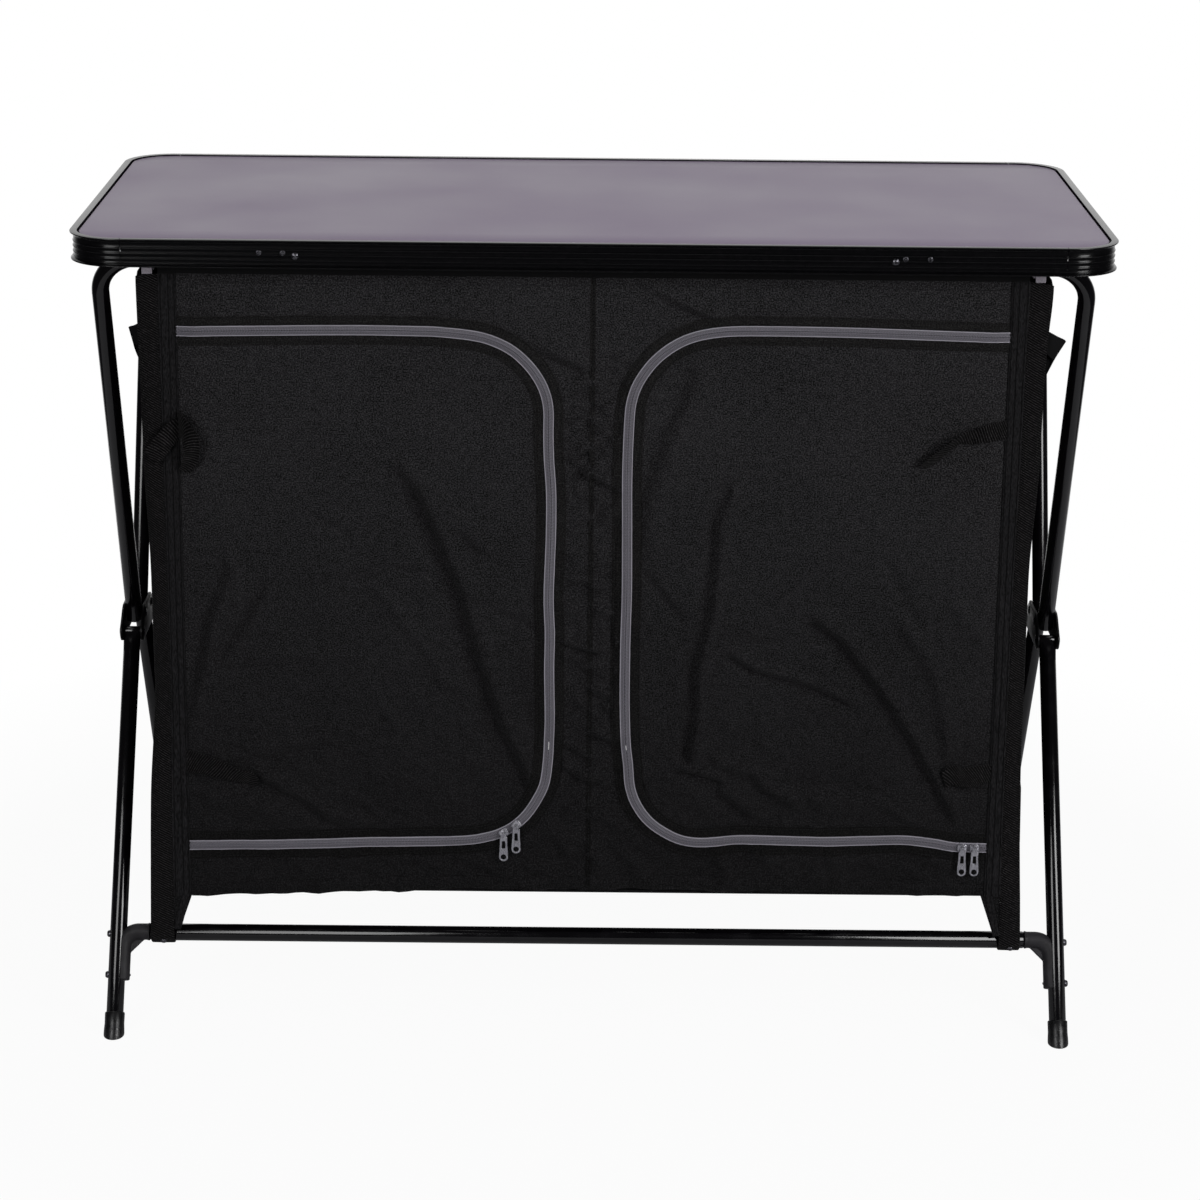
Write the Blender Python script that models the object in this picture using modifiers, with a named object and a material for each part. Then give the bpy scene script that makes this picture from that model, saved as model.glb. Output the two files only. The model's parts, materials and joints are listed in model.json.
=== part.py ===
# Folding camping cupboard: a tabletop with a ribbed metal edge lies on two bent tubes of a folding frame,
# and a fabric cupboard with two zip doors hangs between the upper tubes and the lower crossbars.
# Metres. X runs to the right, Y from the front to the back, Z up.
# The origin is on the floor, under the middle.
# Everything is shown standing open, with the doors zipped.

import math

import bmesh
import bpy
from mathutils import Matrix, Vector

# Tabletop
TOP_WIDTH = 1.000
TOP_DEPTH = 0.470
TOP_HEIGHT = 0.810
TOP_CORNER_RADIUS = 0.050
EDGE_HEIGHT = 0.027
EDGE_WALL = 0.0025
EDGE_FLARE = 0.0033  # how far the edge's two lips stand out past its face
EDGE_LOWER_FLARE = 0.0027  # the same at the lower lip
EDGE_LIP_THICKNESS = 0.0022
EDGE_LIP_WIDER = 0.001  # the lip's top reaches this much further in than the wall
EDGE_FLANGE = 0.010  # the inward flanges under the board and at the bottom
EDGE_TURN_IN = 0.004  # straight stretch of a side edge, between its bend and the seam
BOARD_THICKNESS = 0.008
BOARD_RECESS = 0.001  # how far the board lies below the lip
BOARD_GROOVE = 0.0020  # the dark gap between the lip and the board

# Frame tubes
TUBE_DIAMETER = 0.017
TUBE_WALL = 0.0012
LEG_INSET = 0.026  # from the tabletop's end to the middle of a leg
UPPER_BAR_INSET = 0.043  # from the tabletop's long side to the middle of an upper crossbar
UPPER_BEND_RADIUS = 0.040
LOWER_BAR_HEIGHT = 0.090
FOOT_BEYOND_TOP = 0.013  # how far a foot on the floor stands in front of the tabletop's long side

# Hub
HUB_HEIGHT = 0.365
HUB_UPPER_SPACING = 0.039  # between the two upper pivots
HUB_PIVOT_RISE = 0.014  # the upper pivots lie this much over the lower ones
HUB_PLATE_THICKNESS = 0.0025
HUB_PLATE_MARGIN = 0.010  # round the pivots
PIN_RADIUS = 0.0030
PIN_HEAD_RADIUS = 0.0050
PIN_HEAD_HEIGHT = 0.0012
TUBE_END = 0.007  # tube left beyond a pivot

# Small frame parts
CLIP_WIDTH = 0.010
CLIP_WALL = 0.0030
CLIP_PAD = 0.0085  # plastic between a tube and the board
CLIP_INSET = 0.0745  # from the tabletop's end to the middle of a clip
ELBOW_REACH = 0.0233  # from the leg's side to the elbow's mouth
ELBOW_RADIUS = 0.0083
ELBOW_BEND_RADIUS = 0.016
ELBOW_ARM = 0.049  # down the leg, from the middle of the crossbar
ELBOW_OFFSET = 0.0050  # from the middle of the leg to the middle of the arm that saddles it
ELBOW_LIP = 0.0049  # from the middle of the leg to the saddle's rims
ELBOW_WEB = 0.0020  # thickness of the web in the bend
ELBOW_WEB_LEG = 0.013
SPIGOT_DEPTH = 0.0100
FOOT_WALL = 0.0016
FOOT_LENGTH = 0.0235
FOOT_FLOOR = 0.0090  # along the leg, from the floor to the tube's end

# Fabric cupboard
CLOTH_THICKNESS = 0.0015
STRAP_WIDTH = 0.0215
STRAP_GAP = 0.005  # between a corner strap and the elbow's mouth
STRAP_TAIL = 0.009  # strap below the middle of the lower crossbar
CLOTH_DROP = 0.0055  # from the underside of the upper crossbar to the cupboard's top edge
HEM_HEIGHT = 0.141
GUSSET_WIDTH = 0.045
SHELF_HEIGHTS = (0.380, 0.573)
DOOR_SIDE_MARGIN = 0.041  # from the cupboard's side to a door's hinge seam
DOOR_MIDDLE_MARGIN = 0.0385  # from the middle to a door's free side
DOOR_TOP_MARGIN = 0.0495
DOOR_BOTTOM_MARGIN = 0.0535
DOOR_RADIUS = 0.090
ZIP_GAP = 0.001
SLIDER_SIZE = (0.0095, 0.0035, 0.0085)
SLIDER_PITCH = 0.0125
LEFT_SLIDER_PLACE = 0.0335  # from the left door's free side to its nearer slider
RIGHT_SLIDER_PLACE = 0.0096  # from the right door's hinge seam to its nearer slider
BRIDGE_BAR = 0.0012  # thickness of the bridge across a slider's front
BRIDGE_STAND = 0.0021  # from the slider's front to the middle of its bridge
KNUCKLE_RADIUS = 0.0017  # the puller's loop round the bridge
KNUCKLE_WIDTH = 0.0044
PULLER_LENGTH = 0.0290  # from the bridge to the round end
PULLER_THICKNESS = 0.0012
PULLER_SHOULDER = 0.0072  # width below the loop
PULLER_WIDTH = 0.0090  # at the round end
PULLER_HOLE_RADIUS = 0.0028

# Folding, which sets where the cloth creases
FOLDED_UPPER_LEAN = math.radians(1.5)  # from upright, when folded
FOLDED_LOWER_LEAN = math.radians(8.0)

# Clearances
GAP = 0.0003
PIVOT_GAP = 0.0010  # between the tubes that lie side by side when folded

# Fineness of round shapes
TUBE_RESOLUTION = 4  # 12 sides
ARC_STEP = math.radians(15)
TURN_STEPS = 12

# Worked out from the sizes above
TUBE_R = TUBE_DIAMETER / 2
LEG_X = TOP_WIDTH / 2 - LEG_INSET
BOARD_BOTTOM = TOP_HEIGHT - BOARD_RECESS - BOARD_THICKNESS
EDGE_SEAM = TOP_WIDTH / 2 - TOP_CORNER_RADIUS - EDGE_TURN_IN
UPPER_BAR = Vector((0, TOP_DEPTH / 2 - UPPER_BAR_INSET, BOARD_BOTTOM - CLIP_PAD - TUBE_R))
UPPER_PIVOT = Vector((0, HUB_UPPER_SPACING / 2, HUB_HEIGHT + HUB_PIVOT_RISE / 2))
LOWER_PIVOT = Vector((0, UPPER_PIVOT.y + TUBE_DIAMETER + PIVOT_GAP, HUB_HEIGHT - HUB_PIVOT_RISE / 2))
FOOT = Vector((0, TOP_DEPTH / 2 + FOOT_BEYOND_TOP, 0))
LEG_DIRECTION = (LOWER_PIVOT - FOOT).normalized()  # up the rear lower leg
LOWER_BAR = FOOT + LEG_DIRECTION * (LOWER_BAR_HEIGHT / LEG_DIRECTION.z)
PLATE_X = TUBE_R + GAP * 2  # from the leg's middle to a hub plate
ELBOW_MOUTH = LEG_X - TUBE_R - GAP - ELBOW_REACH
CLOTH_SIDE = ELBOW_MOUTH - STRAP_GAP
CLOTH_TOP = UPPER_BAR.z - TUBE_R - CLOTH_DROP
CLOTH_Y = max(UPPER_BAR.y, LOWER_BAR.y) + TUBE_R + GAP  # inner face of the front and the back
UPPER_LENGTH = (UPPER_BAR - UPPER_PIVOT).length
LOWER_LENGTH = (LOWER_BAR - LOWER_PIVOT).length
UPPER_BAR_FOLDED = UPPER_PIVOT.z + UPPER_LENGTH * math.cos(FOLDED_UPPER_LEAN)
LOWER_BAR_FOLDED = LOWER_PIVOT.z + LOWER_LENGTH * math.cos(FOLDED_LOWER_LEAN)
CREASE = (LOWER_BAR_FOLDED - UPPER_BAR_FOLDED + UPPER_BAR.z + LOWER_BAR.z) / 2
CREASE_OUT = SLIDER_SIZE[1] + BRIDGE_STAND + GAP  # from the cloth's face to the line it folds about
DOOR_HINGE = CLOTH_SIDE - DOOR_SIDE_MARGIN
DOOR_TOP = CLOTH_TOP - DOOR_TOP_MARGIN
DOOR_BOTTOM = HEM_HEIGHT + DOOR_BOTTOM_MARGIN


def collection(name):
    made = bpy.data.collections.new(name)
    bpy.context.scene.collection.children.link(made)
    return made


def material(name, colour, roughness, metallic=0.0):
    made = bpy.data.materials.new(name)
    made.use_nodes = True
    shader = made.node_tree.nodes["Principled BSDF"]
    shader.inputs["Base Color"].default_value = (*colour, 1)
    shader.inputs["Roughness"].default_value = roughness
    shader.inputs["Metallic"].default_value = metallic
    return made


def place(name, data, look, matrix=None, cutter=False):
    """Puts mesh data into the scene as a part or, with cutter, as a shape that only cuts."""
    made = bpy.data.objects.new(name, data)
    (CUTTERS if cutter else PARTS).objects.link(made)
    made.matrix_world = matrix or Matrix.Identity(4)
    if cutter:
        made.hide_render = True
        made.display_type = "WIRE"
    else:
        data.materials.clear()
        data.materials.append(look)
    return made


def solid_from_curve(curve, matrix):
    """The mesh of a curve, with its loose caps welded on and its place in its points."""
    holder = bpy.data.objects.new(curve.name, curve)
    bpy.context.scene.collection.objects.link(holder)
    evaluated = holder.evaluated_get(bpy.context.evaluated_depsgraph_get())
    data = bpy.data.meshes.new_from_object(evaluated)
    bpy.data.objects.remove(holder)
    bpy.data.curves.remove(curve)
    bm = bmesh.new()
    bm.from_mesh(data)
    bmesh.ops.remove_doubles(bm, verts=bm.verts, dist=0.00001)
    bmesh.ops.transform(bm, matrix=matrix, verts=bm.verts)
    bmesh.ops.recalc_face_normals(bm, faces=bm.faces)
    bm.to_mesh(data)
    bm.free()
    return data


def spline(curve, points, closed):
    made = curve.splines.new("POLY")
    made.points.add(len(points) - 1)
    for target, point in zip(made.points, points):
        target.co = (*point, 0, 1) if len(point) == 2 else (*point, 1)
    made.use_cyclic_u = closed


def arc(centre, radius, start, end):
    """Points of a flat arc from one angle to another, in degrees."""
    first, last = math.radians(start), math.radians(end)
    steps = max(1, math.ceil(abs(last - first) / ARC_STEP))
    turns = [first + (last - first) * i / steps for i in range(steps + 1)]
    return [(centre[0] + radius * math.cos(a), centre[1] + radius * math.sin(a)) for a in turns]


def rounded_rectangle(half_x, half_y, radius):
    x, y = half_x - radius, half_y - radius
    corners = [((x, y), 0), ((-x, y), 90), ((-x, -y), 180), ((x, -y), 270)]
    return [p for centre, turn in corners for p in arc(centre, radius, turn, turn + 90)]


def slab(name, outlines, thickness, look, matrix, cutter=False):
    """A flat piece: the first outline less the others, its thickness centred on the outline's plane."""
    curve = bpy.data.curves.new(name, "CURVE")
    curve.dimensions = "2D"
    curve.fill_mode = "BOTH"
    curve.extrude = thickness / 2
    for outline in outlines:
        spline(curve, outline, closed=True)
    return place(name, solid_from_curve(curve, matrix), look, cutter=cutter)


def upright_front(y):
    """Outline x runs along X and outline y up Z, in the plane at y."""
    return Matrix(((1, 0, 0, 0), (0, 0, -1, y), (0, 1, 0, 0), (0, 0, 0, 1)))


def upright_side(x):
    """Outline x runs along Y and outline y up Z, in the plane at x."""
    return Matrix(((0, 0, 1, x), (1, 0, 0, 0), (0, 1, 0, 0), (0, 0, 0, 1)))


def level(z):
    return Matrix.Translation((0, 0, z))


def tube(name, points, look):
    """A hollow tube along points: the open outer surface gets its wall inwards."""
    curve = bpy.data.curves.new(name, "CURVE")
    curve.dimensions = "3D"
    curve.bevel_depth = TUBE_R
    curve.bevel_resolution = TUBE_RESOLUTION
    spline(curve, points, closed=False)
    made = place(name, solid_from_curve(curve, Matrix.Identity(4)), look)
    wall = made.modifiers.new("wall", "SOLIDIFY")
    wall.thickness = TUBE_WALL
    wall.offset = -1
    wall.use_even_offset = True
    return smooth(made)


def smooth(part):
    part.data.shade_smooth()
    part.data.set_sharp_from_angle(angle=math.radians(35))
    return part


def turned(name, profile, look, matrix, cutter=False):
    """A turned shape from (radius, height) points that run down its outer side."""
    data = bpy.data.meshes.new(name)
    edges = [(i, i + 1) for i in range(len(profile) - 1)]
    data.from_pydata([(r, 0, z) for r, z in profile], edges, [])
    made = place(name, data, look, matrix, cutter)
    screw = made.modifiers.new("turn", "SCREW")
    screw.steps = screw.render_steps = TURN_STEPS
    screw.use_merge_vertices = True
    screw.merge_threshold = 0.00001
    screw.use_smooth_shade = True
    return made


def bore(part, cutter):
    cut = part.modifiers.new("bore_" + cutter.name, "BOOLEAN")
    cut.object = cutter
    cut.solver = "EXACT"
    return cut


def join(part, other):
    bore(part, other).operation = "UNION"


def along(start, direction):
    """A place at start whose Z axis points along direction."""
    turn = Vector(direction).to_track_quat("Z", "Y").to_matrix().to_4x4()
    return Matrix.Translation(start) @ turn


def cylinder_cutter(name, start, direction, radius, length):
    bm = bmesh.new()
    sides = TURN_STEPS * 2
    bmesh.ops.create_cone(bm, cap_ends=True, segments=sides, radius1=radius, radius2=radius, depth=length)
    bmesh.ops.translate(bm, verts=bm.verts, vec=(0, 0, length / 2))
    bmesh.ops.transform(bm, matrix=along(start, direction), verts=bm.verts)
    data = bpy.data.meshes.new(name)
    bm.to_mesh(data)
    bm.free()
    return place(name, data, None, cutter=True)


def box_mesh(name, low, high):
    bm = bmesh.new()
    bmesh.ops.create_cube(bm, size=1)
    low, high = Vector(low), Vector(high)
    bmesh.ops.scale(bm, vec=high - low, verts=bm.verts)
    bmesh.ops.translate(bm, vec=(high + low) / 2, verts=bm.verts)
    data = bpy.data.meshes.new(name)
    bm.to_mesh(data)
    bm.free()
    return data


def at(point, side_x, side_y):
    """A point worked out for the rear, moved to one leg: side_x and side_y are -1 or 1."""
    return Vector((side_x * LEG_X, side_y * point.y, point.z))


def mirrored(vector, side_y):
    return Vector((vector.x, side_y * vector.y, vector.z))


# Tabletop


def edge_profile():
    """The edge's section: x is the distance inwards from the overall size, y the height."""
    face = EDGE_FLARE
    inner = face + EDGE_WALL
    lip = inner + EDGE_LIP_WIDER
    top, bottom = TOP_HEIGHT, TOP_HEIGHT - EDGE_HEIGHT
    ledge = BOARD_BOTTOM - GAP
    thick = EDGE_LIP_THICKNESS
    low = EDGE_FLARE - EDGE_LOWER_FLARE
    return [
        (0, top), (0, top - thick / 2), (face, top - thick * 1.6), (face, bottom + thick),
        (low, bottom + thick / 2), (low, bottom), (inner + EDGE_FLANGE, bottom),
        (inner + EDGE_FLANGE, bottom + thick * 0.6),
        (inner, bottom + thick * 0.6), (inner, ledge - thick), (inner + EDGE_FLANGE, ledge - thick),
        (inner + EDGE_FLANGE, ledge), (lip, ledge), (lip, top),
    ]


def edge_rail(name, path):
    """Sweeps the edge's section along a level path that has the tabletop on its left."""
    section = bpy.data.curves.new(name + "_section", "CURVE")
    section.dimensions = "2D"
    spline(section, [(-x, y) for x, y in edge_profile()], closed=True)
    holder = bpy.data.objects.new(name + "_section", section)
    bpy.context.scene.collection.objects.link(holder)
    curve = bpy.data.curves.new(name, "CURVE")
    curve.dimensions = "2D"
    curve.bevel_mode = "OBJECT"
    curve.bevel_object = holder
    curve.use_fill_caps = True
    spline(curve, path, closed=False)
    data = solid_from_curve(curve, Matrix.Identity(4))
    bpy.data.objects.remove(holder)
    return place(name, data, EDGE_METAL)


def side_edge_path(side):
    """Round one end of the tabletop, from the seam at one long side to the seam at the other."""
    x, y = TOP_WIDTH / 2 - TOP_CORNER_RADIUS, TOP_DEPTH / 2 - TOP_CORNER_RADIUS
    seam = EDGE_SEAM + GAP
    front = [(seam, -TOP_DEPTH / 2)] + arc((x, -y), TOP_CORNER_RADIUS, -90, 0)
    rear = arc((x, y), TOP_CORNER_RADIUS, 0, 90) + [(seam, TOP_DEPTH / 2)]
    path = front + rear
    return path if side > 0 else [(-px, -py) for px, py in path]


def make_tabletop():
    inset = EDGE_FLARE + EDGE_WALL + EDGE_LIP_WIDER + BOARD_GROOVE
    outline = rounded_rectangle(TOP_WIDTH / 2 - inset, TOP_DEPTH / 2 - inset, TOP_CORNER_RADIUS - inset)
    middle = BOARD_BOTTOM + BOARD_THICKNESS / 2
    seam = EDGE_SEAM - GAP
    return [
        slab("tabletop_board", [outline], BOARD_THICKNESS, BOARD, level(middle)),
        edge_rail("edge_front", [(-seam, -TOP_DEPTH / 2), (seam, -TOP_DEPTH / 2)]),
        edge_rail("edge_rear", [(seam, TOP_DEPTH / 2), (-seam, TOP_DEPTH / 2)]),
        edge_rail("edge_left", side_edge_path(-1)),
        edge_rail("edge_right", side_edge_path(1)),
    ]


# Folding frame


def upper_frame_path(side):
    """From one leg's end below its pivot, round both bends, to the other leg's end."""
    up = (UPPER_BAR - UPPER_PIVOT).normalized()
    start = at(UPPER_PIVOT - up * TUBE_END, 1, side)
    up = mirrored(up, side)
    corner = at(UPPER_BAR, 1, side)
    centre = corner - up * UPPER_BEND_RADIUS - Vector((UPPER_BEND_RADIUS, 0, 0))
    turns = arc((0, 0), UPPER_BEND_RADIUS, 0, 90)
    half = [start] + [centre + Vector((x, 0, 0)) + up * y for x, y in turns]
    return half + [Vector((-p.x, p.y, p.z)) for p in reversed(half)]


def make_upper_frame(name, side, bores):
    frame = tube(name + "_frame", upper_frame_path(side), FRAME_PAINT)
    for cutter in bores.values():
        bore(frame, cutter)
    clips = [make_clip(f"{name}_clip_{word}", side_x, side) for word, side_x in SIDES]
    return [frame] + clips


def make_clip(name, side_x, side_y):
    """An upside-down U over the upper crossbar whose flat back carries the board."""
    inner = TUBE_R + GAP
    outer = inner + CLIP_WALL
    low, high = CLOTH_TOP + GAP * 2, BOARD_BOTTOM - GAP
    y, z = side_y * UPPER_BAR.y, UPPER_BAR.z
    hollow = [(y + a, z + b) for a, b in arc((0, 0), inner, 0, 180)]
    left = [(y - inner, low), (y - outer, low), (y - outer, high)]
    right = [(y + outer, high), (y + outer, low), (y + inner, low)]
    x = side_x * (TOP_WIDTH / 2 - CLIP_INSET)
    return slab(name, [left + right + hollow], CLIP_WIDTH, CLIP_PLASTIC, upright_side(x))


def make_leg(name, side_x, side_y, bores):
    """A lower leg with its tube end above the pivot and its foot cap on the floor."""
    up = mirrored(LEG_DIRECTION, side_y)
    low = at(FOOT, side_x, side_y) + up * FOOT_FLOOR
    high = at(LOWER_PIVOT, side_x, side_y) + up * TUBE_END
    leg = tube(name + "_leg", [low, high], FRAME_PAINT)
    bore(leg, bores[side_x])
    return [leg, make_foot(name + "_foot", at(FOOT, side_x, side_y), up)]


def make_foot(name, ground, up):
    radius = TUBE_R + GAP + FOOT_WALL
    rim = radius - FOOT_WALL * 0.4
    shoulder = FOOT_LENGTH - FOOT_WALL * 2
    profile = [(0, FOOT_LENGTH), (rim, FOOT_LENGTH), (radius, shoulder), (radius, -radius), (0, -radius)]
    foot = turned(name, profile, FOOT_RUBBER, along(ground, up))
    cup = cylinder_cutter(name + "_cup", ground + up * (FOOT_FLOOR - GAP), up, TUBE_R + GAP, FOOT_LENGTH)
    bore(foot, cup)
    reach = radius * 4
    low, high = ground - Vector((reach, reach, reach)), ground + Vector((reach, reach, 0))
    under = box_mesh(name + "_ground", low, high)
    bore(foot, place(name + "_ground", under, None, cutter=True))
    return foot


def hull_mesh(name, points):
    """The closed skin that wraps round points."""
    bm = bmesh.new()
    for point in points:
        bm.verts.new(point)
    hull = bmesh.ops.convex_hull(bm, input=bm.verts)
    bmesh.ops.delete(bm, geom=hull["geom_interior"], context="VERTS")
    bmesh.ops.dissolve_limit(bm, angle_limit=math.radians(1), verts=bm.verts, edges=bm.edges)
    data = bpy.data.meshes.new(name)
    bm.to_mesh(data)
    bm.free()
    return data


def elbow_web(name, side_x, bar, down, arm):
    """A thin plate across the inside of the bend."""
    under, side = ELBOW_RADIUS, arm - ELBOW_RADIUS
    start, end = side - ELBOW_WEB_LEG, under + ELBOW_WEB_LEG
    sunk = ELBOW_RADIUS * 0.3
    tip = end + sunk
    outline = [(start - sunk, under - sunk), (side + sunk, tip), (arm, tip), (arm, 0), (start - sunk, 0)]
    across = Vector((side_x, 0, 0))
    axes = Matrix((across, down, across.cross(down))).transposed().to_4x4()
    return slab(name, [outline], ELBOW_WEB, None, Matrix.Translation(bar) @ axes, cutter=True)


def make_elbow(name, side_x, side_y):
    """Plastic elbow: a spigot inside the crossbar, a round bend, and an arm that saddles the leg."""
    bar = Vector((0, side_y * LOWER_BAR.y, LOWER_BAR.z))
    up = mirrored(LEG_DIRECTION, side_y)
    across = Vector((side_x, 0, 0))
    arm, turn = LEG_X - ELBOW_OFFSET, ELBOW_BEND_RADIUS
    mouth = bar + across * ELBOW_MOUTH
    path = [mouth] + [bar + across * (arm - turn + a) - up * (turn - b) for a, b in arc((0, 0), turn, 90, 0)]
    curve = bpy.data.curves.new(name, "CURVE")
    curve.dimensions = "3D"
    curve.bevel_depth = ELBOW_RADIUS
    curve.bevel_resolution = TUBE_RESOLUTION
    curve.use_fill_caps = True
    spline(curve, path + [bar + across * arm - up * ELBOW_ARM], closed=False)
    elbow = smooth(place(name, solid_from_curve(curve, Matrix.Identity(4)), ELBOW_PLASTIC))
    inside = TUBE_R - TUBE_WALL - GAP
    start = mouth + across * inside
    join(elbow, cylinder_cutter(name + "_spigot", start, -across, inside, inside + SPIGOT_DEPTH))
    join(elbow, elbow_web(name + "_web", side_x, bar, -up, arm))
    foot = at(FOOT, side_x, side_y)
    length = (LOWER_BAR - FOOT).length
    bore(elbow, cylinder_cutter(name + "_leg", foot + up * (length * 0.3), up, TUBE_R + GAP, length))
    low, high = sorted((side_x * (LEG_X - ELBOW_LIP), side_x * (LEG_X + TUBE_DIAMETER)))
    reach = FOOT.y * 2
    rims = box_mesh(name + "_rims", (low, -reach, -reach), (high, reach, reach))
    bore(elbow, place(name + "_rims", rims, None, cutter=True))
    return elbow


def make_lower_frame(name, side, bores):
    reach = ELBOW_MOUTH - GAP
    ends = [Vector((x, side * LOWER_BAR.y, LOWER_BAR.z)) for x in (-reach, reach)]
    parts = [tube(name + "_crossbar", ends, FRAME_PAINT)]
    for word, side_x in SIDES:
        parts += make_leg(f"{name}_{word}", side_x, side, bores)
        parts.append(make_elbow(f"{name}_{word}_elbow", side_x, side))
    return parts


def pivots():
    """Every pivot of one side, by name, in the side's own plane."""
    for row, point in (("upper", UPPER_PIVOT), ("lower", LOWER_PIVOT)):
        for word, side_y in ENDS:
            yield f"{row}_{word}", mirrored(point, side_y)


def hub_bores(side_x):
    """One cutter with the four pin holes of a side."""
    bm = bmesh.new()
    length = PLATE_X * 2 + HUB_PLATE_THICKNESS * 4
    for _, point in pivots():
        spot = along(Vector((side_x * LEG_X, point.y, point.z)), (1, 0, 0))
        bmesh.ops.create_cone(bm, cap_ends=True, segments=TURN_STEPS, radius1=PIN_RADIUS + GAP,
                              radius2=PIN_RADIUS + GAP, depth=length, matrix=spot)
    data = bpy.data.meshes.new("hub_bores")
    bm.to_mesh(data)
    bm.free()
    return place(f"hub_bores_{'left' if side_x < 0 else 'right'}", data, None, cutter=True)


def hub_plate(name, x, bores):
    """A plate whose outline wraps round discs on the four pivots."""
    faces = (x - HUB_PLATE_THICKNESS / 2, x + HUB_PLATE_THICKNESS / 2)
    rims = [p for _, point in pivots() for p in arc((point.y, point.z), HUB_PLATE_MARGIN, 0, 345)]
    plate = place(name, hull_mesh(name, [(face, y, z) for y, z in rims for face in faces]), FRAME_PAINT)
    bore(plate, bores)
    return plate


def make_pin(name, side_x, point):
    """A rivet through both plates, with a domed head at each end."""
    head = PLATE_X + HUB_PLATE_THICKNESS + GAP
    top = head + PIN_HEAD_HEIGHT
    shoulder = (PIN_HEAD_RADIUS * 0.6, top - PIN_HEAD_HEIGHT * 0.15)
    half = [(0, top), shoulder, (PIN_HEAD_RADIUS, head), (PIN_RADIUS, head)]
    profile = half + [(r, -z) for r, z in reversed(half)]
    return turned(name, profile, PIN_STEEL, along(Vector((side_x * LEG_X, point.y, point.z)), (1, 0, 0)))


def make_hubs(bores):
    parts = []
    for word, side_x in SIDES:
        for place_word, sign in (("outer", 1), ("inner", -1)):
            x = side_x * (LEG_X + sign * (PLATE_X + HUB_PLATE_THICKNESS / 2))
            parts.append(hub_plate(f"hub_plate_{word}_{place_word}", x, bores[side_x]))
        parts += [make_pin(f"hub_pin_{word}_{pivot}", side_x, point) for pivot, point in pivots()]
    return parts


# Fabric cupboard


def door_corner(side, height, radius):
    """The rounded corner of a door's outline at its free side: the top one for height above the crease."""
    x = side * (DOOR_MIDDLE_MARGIN + DOOR_RADIUS)
    upper = height > CREASE
    z = height - radius if upper else height + radius
    start, end = (90, 180) if upper else (270, 180)
    points = arc((x, z), radius, start, end)
    if side < 0:
        points = [(2 * x - px, pz) for px, pz in points]
    return points


def cloth_outline(upper, doors):
    """Half of the front or the back, above or below the crease, with the doors cut in from the crease."""
    line = CREASE + GAP if upper else CREASE - GAP
    shoulder = CLOTH_SIDE - STRAP_WIDTH
    if upper:
        rise = [(shoulder, CLOTH_TOP), (shoulder, UPPER_BAR.z)]
        right = [(CLOTH_SIDE, line), (CLOTH_SIDE, CLOTH_TOP)] + rise
    else:
        tail = LOWER_BAR.z - STRAP_TAIL
        right = [(CLOTH_SIDE, line), (CLOTH_SIDE, tail), (shoulder, tail), (shoulder, HEM_HEIGHT)]
    outline = right + [(-x, z) for x, z in reversed(right)]
    if not doors:
        return outline
    height = DOOR_TOP if upper else DOOR_BOTTOM
    hinge_side = [(DOOR_HINGE, line), (DOOR_HINGE, height)]
    half = hinge_side + door_corner(1, height, DOOR_RADIUS) + [(DOOR_MIDDLE_MARGIN, line)]
    return outline + [(-x, z) for x, z in half] + list(reversed(half))


def make_cloth(word, side):
    y = side * (CLOTH_Y + CLOTH_THICKNESS / 2)
    halves = []
    for half in ("upper", "lower"):
        outline = cloth_outline(half == "upper", word == "front")
        halves.append(slab(f"{word}_panel_{half}", [outline], CLOTH_THICKNESS, CLOTH, upright_front(y)))
    return halves


def make_door(word, side, half):
    """Half of a door, a zip's width inside its opening."""
    upper = half == "upper"
    line = CREASE + GAP if upper else CREASE - GAP
    height = DOOR_TOP - ZIP_GAP if upper else DOOR_BOTTOM + ZIP_GAP
    hinge, free = side * (DOOR_HINGE - ZIP_GAP), side * (DOOR_MIDDLE_MARGIN + ZIP_GAP)
    corner = door_corner(side, height, DOOR_RADIUS - ZIP_GAP)
    outline = [(hinge, line), (hinge, height)] + corner + [(free, line)]
    y = -(CLOTH_Y + CLOTH_THICKNESS / 2)
    return slab(f"door_{word}_{half}", [outline], CLOTH_THICKNESS, CLOTH, upright_front(y))


def make_side(word, side_x):
    """A side panel whose lower corners run down to the crossbars."""
    half = CLOTH_Y - GAP * 2
    tip = LOWER_BAR.z + TUBE_R + GAP * 3
    rear = [(half - GUSSET_WIDTH, HEM_HEIGHT), (half, tip), (half, CLOTH_TOP)]
    outline = rear + [(-y, z) for y, z in reversed(rear)]
    x = side_x * (CLOTH_SIDE - CLOTH_THICKNESS / 2)
    return slab(f"side_panel_{word}", [outline], CLOTH_THICKNESS, CLOTH, upright_side(x))


def make_level(name, z, half_x):
    half_y = CLOTH_Y - GAP * 2
    outline = [(half_x, half_y), (-half_x, half_y), (-half_x, -half_y), (half_x, -half_y)]
    return slab(name, [outline], CLOTH_THICKNESS, LINING, level(z))


def make_divider():
    """The upright sheet behind the middle seam, slotted from the back for the shelves."""
    half_y = CLOTH_Y - GAP * 2
    low = HEM_HEIGHT + CLOTH_THICKNESS + GAP
    slot = CLOTH_THICKNESS / 2 + GAP
    back = []
    for z in SHELF_HEIGHTS:
        end = GUSSET_WIDTH - half_y
        back += [(half_y, z - slot), (end, z - slot), (end, z + slot), (half_y, z + slot)]
    outline = [(-half_y, low), (half_y, low)] + back + [(half_y, CLOTH_TOP), (-half_y, CLOTH_TOP)]
    return slab("divider", [outline], CLOTH_THICKNESS, LINING, upright_side(0))


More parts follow.
